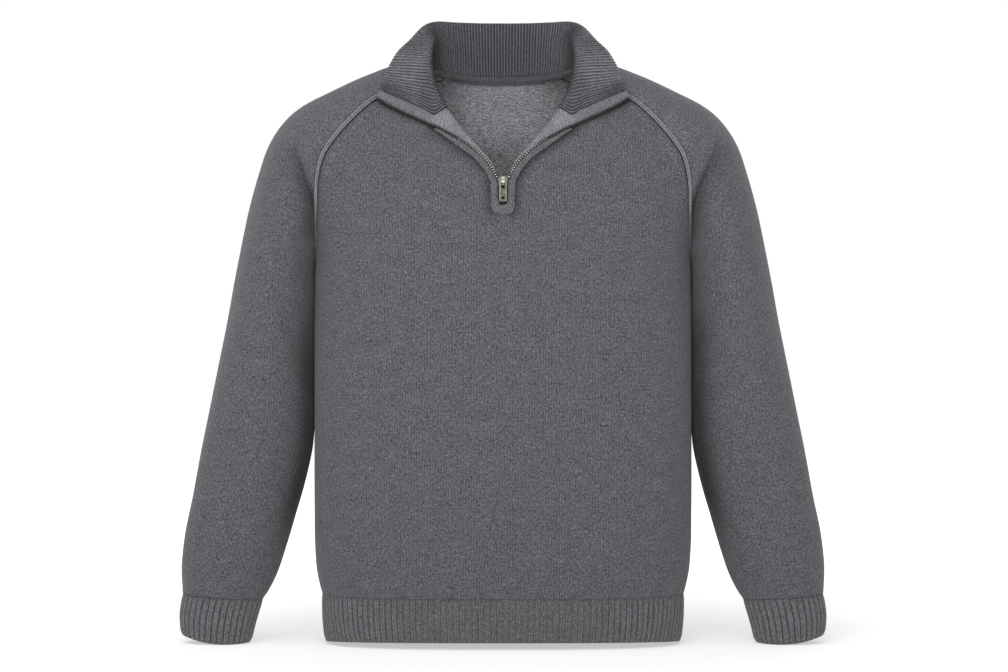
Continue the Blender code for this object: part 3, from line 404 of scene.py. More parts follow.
def section_half(reach, depth, start_x, end_x, shares):
    """Half a section from start_x to end_x, as (x, y) points at these shares of its length."""
    turn = np.linspace(0.0, math.pi / 2, 721)
    x = reach * np.sin(turn) ** (2.0 / BODY_SQUARENESS)
    y = depth * np.cos(turn) ** (2.0 / BODY_SQUARENESS)
    ends_x = np.array([start_x, end_x])
    share = np.clip(ends_x / reach, 0.0, 1.0) ** BODY_SQUARENESS
    ends_y = depth * (1.0 - share) ** (1.0 / BODY_SQUARENESS)
    inside = (x > start_x + 1e-6) & (x < end_x - 1e-6)
    x = np.concatenate([[ends_x[0]], x[inside], [ends_x[1]]])
    y = np.concatenate([[ends_y[0]], y[inside], [ends_y[1]]])
    return at_shares(np.stack([x, y], axis=1), shares)


def grid_normals(grid):
    return unit(np.cross(np.gradient(grid, axis=0), np.gradient(grid, axis=1)))


def sunk_by(folds, across, heights):
    """How far the cloth sinks at these places, in metres."""
    total = np.zeros(across.shape)
    for place, level, length, width, slant, depth in folds:
        turn = math.radians(slant)
        right, up = across - place * MM, heights - level * MM
        lengthways = up * math.cos(turn) + right * math.sin(turn)
        sideways = right * math.cos(turn) - up * math.sin(turn)
        bend = sideways + 0.12 * lengthways**2 / (length * MM)
        total += depth * MM * np.exp(-(lengthways / (length * MM)) ** 2
                                     - (bend / (width * MM)) ** 2)
    return total


def distance_to(points, line):
    """Distance of flat points from a flat polyline."""
    best = np.full(points.shape[:-1], 1e9)
    for start, end in zip(line[:-1], line[1:]):
        run = end - start
        share = np.clip(((points - start) @ run) / max(run @ run, 1e-12), 0.0, 1.0)
        best = np.minimum(best, np.linalg.norm(points - start - share[..., None] * run, axis=-1))
    return best


# --------- the garment's forms
def upper_shares():
    """Shares of the raglan seam for the yoke's rows, one of them at the foot of the zip."""
    shares = np.linspace(0.0, 1.0, YOKE_ROWS)
    fine = np.linspace(0.0, 1.0, 4001)
    foot = fine[np.argmin(np.abs(raglan("front_z", fine) - ZIP_FOOT_Z * MM))]
    shares[np.argmin(np.abs(shares - foot))] = foot
    return shares


def front_half():
    """Half of the front's outer face, rows from neck to hem, columns from the middle out."""
    upper = upper_shares()
    heights = np.concatenate([raglan("front_z", upper), LOWER_HEIGHTS])
    seams = np.concatenate([raglan("front_x", upper), front_reach(LOWER_HEIGHTS)])
    rows = []
    for z, seam_x in zip(heights, seams):
        start = 0.0
        if z > (ZIP_FOOT_Z + 0.5) * MM:
            start = float(smooth(OPENING["height"], OPENING["half_gap"], z))
        half = section_half(float(front_reach(z)), float(chest_depth(z)), start, float(seam_x),
                            OUTWARDS)
        rows.append(line_of(half[:, 0], -half[:, 1], z))
    return np.array(rows)


def back_half():
    rows = []
    for share in upper_shares():
        seam = seam_point("back", share)
        spine_y, spine_z = float(raglan("spine_y", share)), float(raglan("spine_z", share))
        half = section_half(float(reach_of(seam[0], seam[1], spine_y)), spine_y, 0.0, seam[0],
                            OUTWARDS)
        lift = (half[:, 0] / seam[0]) ** 2
        rows.append(line_of(*half.T, spine_z + (seam[2] - spine_z) * lift))
    for z in LOWER_HEIGHTS:
        width, depth = (float(smooth(BODY["height"], BODY[name], z))
                        for name in ("half_width", "back_depth"))
        rows.append(line_of(*section_half(width, depth, 0.0, width, OUTWARDS).T, z))
    return np.array(rows)


def sleeve_arc(seam, top, swell, mid_y, shares):
    rise = min(abs(seam[1] - mid_y) / abs(swell), 1.0)
    start = math.asin(rise)
    half_run = np.array([top[0] - seam[0], 0.0, top[2] - seam[2]]) / (1.0 + math.cos(start))
    centre = np.array([top[0], mid_y, top[2]]) - half_run
    turn = start + (math.pi - start) * shares
    return (centre[None] - np.cos(turn)[:, None] * half_run[None]
            + np.sin(turn)[:, None] * np.array([0.0, swell, 0.0])[None])


def ring(inner, outer, mid_y, half_depth, turn):
    """A closed ring that starts on its inner line and runs round by the front."""
    points = ((inner + outer) / 2)[None] - np.cos(turn)[:, None] * ((outer - inner) / 2)[None]
    points[:, 1] = mid_y - np.sin(turn) * half_depth
    return points


def ring_rows(rings, count, turn):
    known = np.arange(len(rings["mid_y"]))
    wanted = np.linspace(0, len(known) - 1, count)
    read = {name: smooth(known, values, wanted) for name, values in rings.items()}
    rows = []
    for k in range(count):
        inner, outer = (np.array([read[side + "_x"][k], 0.0, read[side + "_z"][k]])
                        for side in ("inner", "outer"))
        rows.append(ring(inner, outer, read["mid_y"][k], read["half_depth"][k], turn))
    return rows


def sleeve_right_side():
    """Outer face of the sleeve at +X: rows from neck to cuff, columns from front to back seam."""
    even = np.linspace(0.0, 1.0, SLEEVE_CELLS + 1)
    shares = 0.6 * even + 0.4 * (1.0 - np.cos(even * math.pi / 2))
    rows = []
    for share in upper_shares()[:-1]:
        front, back = seam_point("front", share), seam_point("back", share)
        top = np.array([raglan("top_x", share), 0.0, raglan("top_z", share)], float)
        fore = sleeve_arc(front, top, -float(raglan("front_swell", share)), 0.0, shares)
        aft = sleeve_arc(back, top, float(raglan("back_swell", share)), 0.0, shares)
        rows.append(np.concatenate([fore, aft[::-1][1:]]))
    turn = np.concatenate([shares, 2.0 - shares[::-1][1:]]) * math.pi
    return np.array(rows + ring_rows(SLEEVE_RINGS, SLEEVE_ROWS, turn))


def shared_seam(first, second):
    agree = np.sum(first * second, axis=-1, keepdims=True)
    share = np.clip((agree - 0.2) / 0.6, 0.0, 1.0)
    middle = unit(first + second)
    return unit(first * (1 - share) + middle * share), unit(second * (1 - share) + middle * share)


def neck_line(front, front_n, back, back_n, sleeve, sleeve_n):
    points, normals, off = [], [], []

    def take(grid, grid_n, rows, cols, inner_rows, inner_cols):
        edge = grid[rows, cols] - grid_n[rows, cols] * CLOTH * MM / 2
        deeper = grid[inner_rows, inner_cols] - grid_n[inner_rows, inner_cols] * CLOTH * MM / 2
        points.extend(edge)
        normals.extend(grid_n[rows, cols])
        off.extend(unit(edge - deeper))

    take(back, back_n, 0, slice(None), 1, slice(None))
    take(sleeve[:, ::-1], sleeve_n[:, ::-1], 0, slice(1, -1), 1, slice(1, -1))
    take(front[:, ::-1], front_n[:, ::-1], 0, slice(0, -2), 1, slice(0, -2))
    last = int(np.argmin(np.abs(front[:, 0, 2] - COLLAR_FRONT_Z * MM)))
    take(front, front_n, slice(0, last + 1), 0, slice(0, last + 1), 1)
    return np.array(points), np.array(normals), np.array(off)


def blurred(values, times):
    for _ in range(times):
        values[1:-1] = (values[:-2] + 2 * values[1:-1] + values[2:]) / 4
    return values


def collar_half(neck):
    """Half of the collar's middle surface: rows along the neck, columns up to its edge."""
    points, normals, off = neck
    steps = step_lengths(points)
    along = summed(steps) / np.sum(steps)
    wanted = np.linspace(0.0, 1.0, COLLAR_RIBS * COLLAR_RIB_STEPS + 1)
    base, lift, outward = (
        np.stack([np.interp(wanted, along, values[:, k]) for k in range(3)], axis=1)
        for values in (points, off, normals))
    lift, outward = unit(blurred(lift, 40)), unit(blurred(outward, 40))
    base[0, 0] = lift[0, 0] = outward[0, 0] = 0.0
    crest, edge = (
        np.stack([smooth(COLLAR["along"] / MM, COLLAR[part + axis], wanted) for axis in "xyz"],
                 axis=1) for part in ("crest_", "edge_"))
    neck_top = base + lift * COLLAR_SEAM_RISE * MM
    fold = soft_step(wanted, COLLAR_FOLD_FROM, 1.0)[:, None]
    turned = neck_top + outward * COLLAR_FOLD_HEIGHT * MM
    halfway = neck_top + (crest - neck_top) * 0.5
    leave = unit(unit(crest - halfway) * (1 - fold) * 0.3 + unit(edge - crest))
    leave = leave * np.linalg.norm(edge - crest, axis=1, keepdims=True) * 0.8
    lines = [base + lift * COLLAR_GAP * MM, neck_top, halfway + (turned - halfway) * fold, crest]
    for t in (1 / 3, 2 / 3, 1.0):
        lines.append((2 * t**3 - 3 * t**2 + 1) * crest + (t**3 - 2 * t**2 + t) * leave
                     + (3 * t**2 - 2 * t**3) * edge + (t**3 - t**2) * (edge - crest))
    grid = np.stack(lines, axis=1)
    share = soft_step(wanted, COLLAR_END_FROM, 1.0)[:, None, None]
    grid[:, 3:] += (collar_end() - grid[-1, 3:])[None] * share
    lying = wanted > COLLAR_FOLD_FROM
    face = front_y(grid[lying, 3:, 0], grid[lying, 3:, 2])
    grid[lying, 3:, 1] = np.minimum(grid[lying, 3:, 1], face - (COLLAR_CLOTH / 2 + 2.85) * MM)
    fine = []
    for line in grid:
        along = summed(step_lengths(line))
        places = np.linspace(0.0, 1.0, COLLAR_BANDS + 1) ** 1.3 * along[-1]
        fine.append(np.stack([smooth(along, line[:, k], places) for k in range(3)], axis=1))
    return np.array(fine)


def collar_end():
    across = np.linspace(4, 0, 4)
    x, z = (smooth(EDGE_ROWS, FRONT_EDGE["ridge_" + axis], across) for axis in "xz")
    up = unit(np.stack([np.gradient(z), -np.gradient(x)], axis=1))
    place = np.stack([x, z], axis=1) + up * np.sign(up[:, 1:]) * COLLAR_END_GAP * MM
    points, _ = on_front(place, np.full(len(place), (COLLAR_CLOTH / 2 + 2.4) * MM))
    points[-1, 1] = COLLAR_TIP_Y * MM
    return points


def on_front(place, lift):
    """Points on the front's outer face at these (x, z) places, lifted off it, and its normals."""
    x, z = place[:, 0], place[:, 1]
    small = 0.5 * MM
    slope_x = (front_y(x + small, z) - front_y(np.abs(x - small), z)) / (2 * small)
    slope_z = (front_y(x, z + small) - front_y(x, z - small)) / (2 * small)
    normals = unit(np.stack([slope_x, -np.ones_like(x), slope_z], axis=1))
    return np.stack([x, front_y(x, z), z], axis=1) + normals * lift[:, None], normals


def edge_lines(samples):
    wanted = np.linspace(0, EDGE_ROWS[-1], samples)
    lifts = smooth(EDGE_ROWS, FRONT_EDGE["stand_off"], wanted) + 0.3 * MM
    ridge, teeth = (np.stack([smooth(EDGE_ROWS, FRONT_EDGE[part + axis], wanted)
                              for axis in ("_x", "_z")], axis=1) for part in ("ridge", "teeth"))
    return wanted, ridge, teeth, lifts


def edge_to_slider(samples):
    """The line of the teeth and its height, carried on to the top of the slider."""
    _, _, teeth, lifts = edge_lines(samples)
    more = at_shares(np.array([teeth[-1]] + [np.array(place) * MM for place in TEETH_END]),
                     np.linspace(0.0, 1.0, samples // 24 + 1)[1:])
    return np.concatenate([teeth, more]), np.concatenate([lifts, np.full(len(more), lifts[-1])])


def band_lines(samples):
    """Inner and outer line of the band round the zip, on the front."""
    wanted, ridge, teeth, _ = edge_lines(97)
    first = 36
    across = unit(teeth - ridge)
    grown = np.clip((wanted[first:] - wanted[first]) / 3.0 + 0.05, 0.0, 1.0)[:, None]
    inner = teeth[first:] + across[first:] * (TAPE_WIDTH / 2 + SEAM_GAP) * MM
    outer = inner + across[first:] * BAND_WIDTH * MM * grown
    inner = np.concatenate([inner, np.array([row[:2] for row in BAND_FOOT]) * MM])
    outer = np.concatenate([outer, np.array([row[2:] for row in BAND_FOOT]) * MM])
    shares = np.linspace(0.0, 1.0, samples)
    return at_shares(inner, shares), at_shares(outer, shares)


# --------- mesh making
def deselect():
    bpy.ops.object.select_all(action="DESELECT")


def only(obj):
    deselect()
    obj.select_set(True)
    bpy.context.view_layer.objects.active = obj


def named(obj, name):
    obj.name = obj.data.name = name
    return obj


def edited(obj, *steps):
    """Runs these steps, each an operator and its settings, on the whole mesh in edit mode."""
    only(obj)
    bpy.ops.object.mode_set(mode="EDIT")
    bpy.ops.mesh.select_all(action="SELECT")
    for step, settings in steps:
        step(**settings)
    bpy.ops.object.mode_set(mode="OBJECT")
    return obj


def cloth(name, points, uv=None, **shades):
    """A grid primitive laid on these points, rows down and columns across, with UVs in metres and
    a painted shade for each point, and one for its inner side, which is 1 on open cloth, lower
    where shade is painted into grooves, seams and creases, and above 1 where light is painted on."""
    rows, cols = points.shape[:2]
    deselect()
    bpy.ops.mesh.primitive_grid_add(x_subdivisions=cols - 1, y_subdivisions=rows - 1, size=1.0)
    obj = named(bpy.context.object, name)
    mesh = obj.data
    flat = np.empty(len(mesh.vertices) * 3)
    mesh.vertices.foreach_get("co", flat)
    flat = flat.reshape(-1, 3)
    col = np.rint((flat[:, 0] + 0.5) * (cols - 1)).astype(int)
    row = np.rint((0.5 - flat[:, 1]) * (rows - 1)).astype(int)
    mesh.vertices.foreach_set("co", points[row, col].ravel())
    if uv is None:
        uv = uv_down(run_across(points), points)
    corner = np.empty(len(mesh.loops), int)
    mesh.loops.foreach_get("vertex_index", corner)
    mesh.uv_layers.active.data.foreach_set("uv", uv[row, col][corner].ravel())
    for kind in ("shade", "inner_shade"):
        values = shades.get(kind, shades.get("shade", np.ones((rows, cols))))
        mesh.attributes.new(kind, "FLOAT", "POINT").data.foreach_set("value", values[row, col])
    mesh.update()
    return obj


def joined(name, objects):
    only(objects[0])
    for obj in objects:
        obj.select_set(True)
    bpy.ops.object.join()
    return welded(named(bpy.context.object, name))


def welded(obj, distance=0.00002):
    return edited(obj, (bpy.ops.mesh.remove_doubles, {"threshold": distance}))


def dressed(obj, *finishes):
    obj.data.materials.clear()
    for finish in finishes:
        obj.data.materials.append(finish)
    return obj


def thickened(obj, thickness, *finishes, offset=-1.0):
    """Gives a sheet its thickness; where there are two finishes the second is on the inner side."""
    only(dressed(obj, *finishes))
    modifier = obj.modifiers.new("wall", "SOLIDIFY")
    modifier.thickness = thickness * MM
    modifier.offset = offset
    modifier.use_even_offset = False
    modifier.material_offset = len(finishes) - 1
    bpy.ops.object.modifier_apply(modifier="wall")
    return obj


def finished(obj, nodes, body="sweater", smooth_angle=60):
    """Shades the piece smooth, gives it its body and hides the nodes that it stands for."""
    only(obj)
    bpy.ops.object.shade_smooth_by_angle(angle=math.radians(smooth_angle))
    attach(obj, body)
    if nodes:
        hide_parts(*nodes)
    return obj


def mirrored(points):
    return points * np.array([-1.0, 1.0, 1.0])


def linked(name, mesh):
    obj = bpy.data.objects.new(name, mesh)
    bpy.context.scene.collection.objects.link(obj)
    return obj


# --------- materials
WOOL_NOISE = {"sway": {"Scale": 70, "Detail": 2},
              "fine": {"Scale": 480, "Detail": 3, "Roughness": 0.7},
              "yarn": {"Scale": 380, "Detail": 2, "Roughness": 0.55},
              "fleck": {"Scale": 480, "Detail": 1},
              "mottle": {"Scale": 60, "Detail": 5},
              "fibre": {"Scale": 210, "Detail": 0, "Distortion": 0.6},
              "patch": {"Scale": 150, "Detail": 1}}
# How much each of the noises lightens and darkens the wool
FIBRE_TONES = {"fine": 1.5, "yarn": 0.8, "mottle": 0.28}
TONE_SPREAD = 0.42
SWAY = 3.0


def linear(hex_colour, alpha=1.0):
    """An sRGB hex colour as linear RGBA."""
    values = [int(hex_colour[k:k + 2], 16) / 255 for k in (1, 3, 5)]
    return (*(v / 12.92 if v <= 0.04045 else ((v + 0.055) / 1.055) ** 2.4 for v in values), alpha)


def fill(material, node, values):
    """Sets a node's properties and inputs, and links the inputs whose value is a socket."""
    for key, value in values.items():
        if isinstance(value, bpy.types.NodeSocket):
            material.node_tree.links.new(value, node.inputs[key])
        elif isinstance(key, str) and hasattr(node, key):
            setattr(node, key, value)
        else:
            node.inputs[key].default_value = value


def add(material, kind, values=None, out=0):
    """Adds a node with its settings and links, and gives one of its outputs."""
    node = material.node_tree.nodes.new("ShaderNode" + kind)
    fill(material, node, values or {})
    return node.outputs[out]


def new_material(name):
    material = bpy.data.materials.new(name)
    material.use_nodes = True
    return material, material.node_tree.nodes["Principled BSDF"]


def sums(material, *parts):
    """Weighted sum of sockets: (socket, weight) pairs."""
    total = 0.0
    for socket, weight in parts:
        total = add(material, "Math", {"operation": "MULTIPLY_ADD", 0: socket, 1: weight,
                                       2: total})
    return total


def knit(name, dark, light, wale=3.2, course=2.4, sheen=0.2, grain=1.0, along=0.75,
         sideways=False, shade_name="shade"):
    """Knitted wool. Stitches stand in upright wales; the real ones are about 1.3 mm wide and are
    drawn twice that so that they show. Dyed and undyed fibres give a heathered grey with light
    flecks, and the fuzz gives a soft sheen. The painted shade of each point, an attribute, darkens
    the colour in grooves and creases and lightens it where light is painted on."""
    fabric, shader = new_material(name)
    uv = add(fabric, "UVMap")
    over, down = (add(fabric, "SeparateXYZ", {"Vector": uv}, k)
                  for k in ((1, 0) if sideways else (0, 1)))
    stretch = (along, 1.0, 1.0) if sideways else (1.0, along, 1.0)
    stretched = add(fabric, "Mapping", {"Vector": uv, "Scale": stretch})
    wool = {word: add(fabric, "TexNoise", {"Vector": stretched if word == "yarn" else uv,
                                           **settings})
            for word, settings in WOOL_NOISE.items()}
    half_wale, half_course = wale / 2 * MM, course / 2 * MM
    across = sums(fabric, (wool["sway"], SWAY * MM), (over, 1.0))
    wave = add(fabric, "Math", {"operation": "PINGPONG", 0: across, 1: half_wale})
    slope = sums(fabric, (wave, 0.9), (down, 1.0))
    stitch = add(fabric, "Math", {"operation": "PINGPONG", 0: slope, 1: half_course})
    flecks = add(fabric, "MapRange", {0: wool["fleck"], 1: 0.66, 2: 0.76})
    off_middle = add(fabric, "Math", {"operation": "SUBTRACT", 0: wool["fibre"], 1: 0.5})
    contour = add(fabric, "Math", {"operation": "ABSOLUTE", 0: off_middle})
    hairs = add(fabric, "MapRange", {0: contour, 1: 0.0, 2: 0.045, 3: 1.0, 4: 0.0})
    shown = add(fabric, "MapRange", {0: wool["patch"], 1: 0.53, 2: 0.6})
    hairs = add(fabric, "Math", {"operation": "MULTIPLY", 0: hairs, 1: shown})
    fibres = [(wool[word], weight * grain) for word, weight in FIBRE_TONES.items()]
    tone = sums(fabric, *fibres, (wave, 0.2 / half_wale), (stitch, 0.05 / half_course),
                (flecks, 0.85 * grain), (hairs, 0.34 * grain))
    middle = 0.5 * sum(FIBRE_TONES.values()) * grain + 0.175
    tone = add(fabric, "MapRange", {0: tone, 1: middle - TONE_SPREAD, 2: middle + TONE_SPREAD})
    colour = add(fabric, "Mix", {"data_type": "RGBA", 0: tone, 6: linear(dark),
                                 7: linear(light)}, 2)
    shade = add(fabric, "Attribute", {"attribute_name": shade_name}, "Fac")
    dim = add(fabric, "Mix", {"data_type": "RGBA", "blend_type": "MULTIPLY", 0: 1.0, 6: colour,
                              7: shade}, 2)
    height = sums(fabric, (wave, 0.4 / half_wale), (stitch, 0.2 / half_course),
                  (wool["yarn"], 0.9), (wool["fine"], 0.7))
    bumped = add(fabric, "Bump", {"Strength": 0.5, "Distance": 0.0009, "Height": height})
    fill(fabric, shader, {
        "Base Color": dim, "Normal": bumped, "Roughness": 0.93, "Specular IOR Level": 0.25,
        "IOR": 1.5, "Sheen Weight": sheen, "Sheen Roughness": 0.55,
        "Sheen Tint": linear("#d8d8de")})
    return fabric


def metal(name, pale, dark, rough=0.34, fields=()):
    """Cast zinc, plated and antiqued, with its colour varying at random. Each field paints shade
    on a region: from and to across, from and to in height, and how dark the painted shade is,
    or how bright a painted highlight is where that is below 0."""
    cast, shader = new_material(name)
    place = add(cast, "TexCoord", out="Object")
    grain = add(cast, "TexNoise", {"Vector": place, "Scale": 1400, "Detail": 4})
    cloud = add(cast, "TexNoise", {"Vector": place, "Scale": 260, "Detail": 3})
    tone = add(cast, "MapRange", {0: cloud, 1: 0.3, 2: 0.7})
    colour = add(cast, "Mix", {"data_type": "RGBA", 0: tone, 6: linear(dark), 7: linear(pale)}, 2)
    over, up = (add(cast, "SeparateXYZ", {"Vector": place}, k) for k in (0, 2))
    off_middle = add(cast, "Math", {"operation": "ABSOLUTE", 0: over})
    for across_from, across_to, low, high, painted_light_amount in fields:
        inside = 1.0
        for source, start, end in ((off_middle, across_from, across_to), (up, low, high)):
            for edge, soft in ((start, 0.2), (end, -0.2)):
                step = add(cast, "MapRange", {0: source, 1: (edge - soft) * MM,
                                              2: (edge + soft) * MM})
                inside = add(cast, "Math", {"operation": "MULTIPLY", 0: step, 1: inside})
        amount = add(cast, "Math", {"operation": "MULTIPLY", 0: inside, 1: abs(painted_light_amount)})
        # Each field mixes the colour towards near black as painted shade, or towards near white as
        # a painted highlight where its amount is below 0.
        painted_light_colour = linear("#141310" if painted_light_amount > 0 else "#f2efe8")
        colour = add(cast, "Mix", {"data_type": "RGBA", 0: amount, 6: colour, 7: painted_light_colour}, 2)
    worn = add(cast, "MapRange", {0: grain, 1: 0.3, 2: 0.7, 3: rough - 0.06, 4: rough + 0.08})
    bumped = add(cast, "Bump", {"Strength": 0.15, "Distance": 0.0001, "Height": grain})
    fill(cast, shader, {"Base Color": colour, "Normal": bumped, "Roughness": worn,
                        "Metallic": 1.0})
    return cast


def thread(name, dark, light):
    """Twisted wool yarn: short light and dark stretches as its plies turn, and no shine."""
    yarn, shader = new_material(name)
    place = add(yarn, "TexCoord", out="Object")
    twist = add(yarn, "TexNoise", {"Vector": place, "Scale": 700, "Detail": 2})
    tone = add(yarn, "MapRange", {0: twist, 1: 0.35, 2: 0.65})
    colour = add(yarn, "Mix", {"data_type": "RGBA", 0: tone, 6: linear(dark),
                               7: linear(light)}, 2)
    bumped = add(yarn, "Bump", {"Strength": 0.4, "Distance": 0.0003, "Height": twist})
    fill(yarn, shader, {"Base Color": colour, "Normal": bumped, "Roughness": 0.9,
                        "Sheen Weight": 0.2})
    return yarn


JERSEY = knit("jersey_knit_wool", "#29282b", "#747378")
# Reverse side of the jersey, lighter than its face, with its colour raised further as painted light
# inside the garment; it reads inner_shade, which paints more light and shade inside.
JERSEY_BACK_PAINTED_LIGHT = knit("jersey_reverse_wool_painted_light", "#6f6e72", "#d9d8de", wale=3.6, sideways=True, along=0.4,
                   course=3.0, grain=1.7, shade_name="inner_shade")
COLLAR_RIB = knit("collar_rib_wool", "#302f33", "#828187", grain=0.7)
# The collar's wool on its inner side, reading inner_shade, which holds extra painted shade on the
# inner face.
COLLAR_INSIDE = knit("collar_rib_inside_wool", "#302f33", "#828187", grain=0.7,
                     shade_name="inner_shade")
RIB = knit("cuff_rib_wool", "#282729", "#767579", grain=0.8)
BAND = knit("plain_band_wool", "#2e2d30", "#7c7b80", wale=2.2, course=1.8)
FACING = knit("zip_facing_wool", "#454448", "#8e8d92", wale=2.2, course=1.8, grain=0.9)
BINDING = knit("raglan_binding_wool", "#525155", "#a09fa4", wale=1.6, course=1.6, grain=0.7)
TAPE = knit("woven_zip_tape", "#131315", "#28282b", wale=1.0, course=1.0, sheen=0.0)
THREAD = thread("fashioning_stitch_wool", "#58575b", "#949398")
# Painted light on the metals: painted shade on the slider's sides below its crown and on its wings,
# and a painted highlight on its crown; painted shade in the tab's slot under the crown, and the tab
# darker over its middle; painted shade on the teeth along the collar and below the slider.
SLIDER_METAL = metal("antiqued_nickel_slider_painted_light", "#98958c", "#77746c", fields=(
    (1.9, 12, -130, -114.6, 0.88), (1.9, 12, -114.6, -106, 0.7), (-9, 1.9, -118, -110.6, -0.25)))
TAB_METAL = metal("antiqued_nickel_tab_painted_shade", "#716f68", "#55534d", fields=(
    (-9, 3.1, -138.4, -117.4, 0.55), (-9, 2.1, -123.4, -118.9, 0.97)))
TEETH = metal("worn_nickel_teeth_painted_shade", "#a3a29e", "#6c6b68", rough=0.42, fields=(
    (52, 180, -90, 10, 0.72), (30, 52, -90, 10, 0.3), (-9, 5, -160, -118, 0.85)))


# --------- stage
def stage():
    scene = bpy.context.scene
    centre_x = (IMAGE[0] / 2 - PHOTO_MIDDLE_X) * PHOTO_SCALE * MM
    centre_z = (PHOTO_NECK_Y - IMAGE[1] / 2) * PHOTO_SCALE * MM
    data = bpy.data.cameras.new("view")
    data.sensor_width = SENSOR
    data.lens = SENSOR * CAMERA_AWAY / (IMAGE[0] * PHOTO_SCALE * MM)
    camera = linked("view", data)
    camera.location = (centre_x, -CAMERA_AWAY, centre_z)
    camera.rotation_euler = (math.pi / 2, 0.0, 0.0)
    scene.camera = camera
    scene.view_settings.view_transform = "Standard"

    world = bpy.data.worlds.new("pale_room")
    world.use_nodes = True
    seen = add(world, "LightPath", out="Is Camera Ray")
    strength = add(world, "MapRange", {0: seen, 3: ROOM_LIGHT})
    fill(world, world.node_tree.nodes["Background"], {"Color": (1.0, 1.0, 1.0, 1.0),
                                                      "Strength": strength})
    scene.world = world
    for name, place, size, power in SOFT_BOXES:
        lamp = bpy.data.lights.new(name, "AREA")
        lamp.size = size
        lamp.energy = power
        holder = linked(name, lamp)
        holder.location = place
        aim = Vector(LAMPS_AIM_AT) - Vector(place)
        holder.rotation_euler = aim.to_track_quat("-Z", "Y").to_euler()

    deselect()
    bpy.ops.mesh.primitive_plane_add(size=FLOOR_SIZE, location=(0, 0, FLOOR_Z * MM))
    floor = bpy.context.object
    floor.name = "floor"
    # The floor glows with painted light that rises away from the middle; this lightens the shadow
    # under the garment and keeps the far floor white.
    paper, shader = new_material("white_paper_painted_glow")
    place = add(paper, "TexCoord", out="Object")
    away = add(paper, "VectorMath", {"operation": "LENGTH", 0: place}, "Value")
    (near, low), (far, high) = FLOOR_GLOW
    glow = add(paper, "MapRange", {0: away, 1: near, 2: far, 3: low, 4: high})
    fill(paper, shader, {"Base Color": linear("#d6d6d6"), "Roughness": 0.95,
                         "Specular IOR Level": 0.0, "Emission Color": glow,
                         "Emission Strength": 0.9})
    floor.data.materials.append(paper)


# --------- pieces
def panel_forms():
    """The plain grids of front, back and sleeve, each with its normals, that agree at seams."""
    front, back, sleeve = front_half(), back_half(), sleeve_right_side()
    front_n, back_n, sleeve_n = grid_normals(front), -grid_normals(back), grid_normals(sleeve)
    front_n[YOKE_ROWS:, 0, 0] = back_n[:, 0, 0] = 0.0
    front_n, back_n = unit(front_n), unit(back_n)
    sleeve_n[YOKE:, 0] = sleeve_n[YOKE:, -1] = unit(sleeve_n[YOKE:, 0] + sleeve_n[YOKE:, -1])
    for panel_n, edge in ((front_n, 0), (back_n, -1)):
        panel_n[:YOKE, -1], sleeve_n[:YOKE, edge] = shared_seam(panel_n[:YOKE, -1],
                                                                sleeve_n[:YOKE, edge])
    front_n[YOKE:, -1] = back_n[YOKE:, -1] = unit(front_n[YOKE:, -1] + back_n[YOKE:, -1])
    return front, front_n, back, back_n, sleeve, sleeve_n


def make_body_panels(front, front_n, back, back_n):
    """Front and back with their folds. The front also dips beside the facings and the band."""
    outside_edge = np.concatenate([edge_lines(25)[1][:9], band_lines(60)[1]])
    for name, half, half_n, folds in (("front_panel", front, front_n, FRONT_FOLDS),
                                      ("back_panel", back, back_n, BACK_FOLDS)):
        run, x, z = run_across(half), half[..., 0], half[..., 2]
        to_seam = run[:, -1:] - run
        rows = np.arange(len(half))[:, None] * np.ones_like(run)
        near_seam = bell(to_seam, SEAM_DIP_WIDTH * MM) * np.where(rows < YOKE, 1.0, 0.5)
        fade = soft_step(to_seam, 0.0, 30 * MM) * soft_step(rows, 0, 10)
        ends = soft_step(z, BODY_END_Z * MM, (BODY_END_Z + 12) * MM)
        # Painted shade along the raglan and side seams, and on the front beside the facings and the
        # band.
        edges = near_seam * SEAM_SHADE
        trough = np.zeros_like(run)
        if half is front:
            away = distance_to(half[..., [0, 2]], outside_edge)
            beside = soft_step(np.abs(x), 3 * MM, 11 * MM)
            trough = bell(away - EDGE_DIP_AT * MM, EDGE_DIP_WIDTH * MM) * beside
            edges = edges + EDGE_SHADE * bell(away, EDGE_SHADE_WIDTH * MM) * beside
        # Painted light and shade for the inside: lighter high up and in the middle, darker lower
        # down and towards the sides.
        inner = 1.25 - 0.75 * soft_step(-z, 10 * MM, 85 * MM)
        inner = inner * (1 - 0.25 * soft_step(np.abs(x), 25 * MM, 80 * MM))
        halves = []
        for sign, _ in HANDS:
            sunk = sunk_by(folds, x * sign, z) * fade * ends
            sunk = sunk + (near_seam * SEAM_DIP + trough * EDGE_DIP) * MM
            points = half - half_n * sunk[..., None]
            layers = [points if sign > 0 else mirrored(points),
                      uv_down((run + half[:, :1, 0]) * sign, half), 1.0 - edges, inner]
            if (sign < 0) != (half is back):
                layers = [layer[:, ::-1] for layer in layers]
            halves.append(cloth(name + "_half", layers[0], layers[1], shade=layers[2],
                                inner_shade=layers[3]))
        obj = thickened(joined("knit_" + name, halves), JERSEY_WALL, JERSEY, JERSEY_BACK_PAINTED_LIGHT)
        finished(obj, (name,))


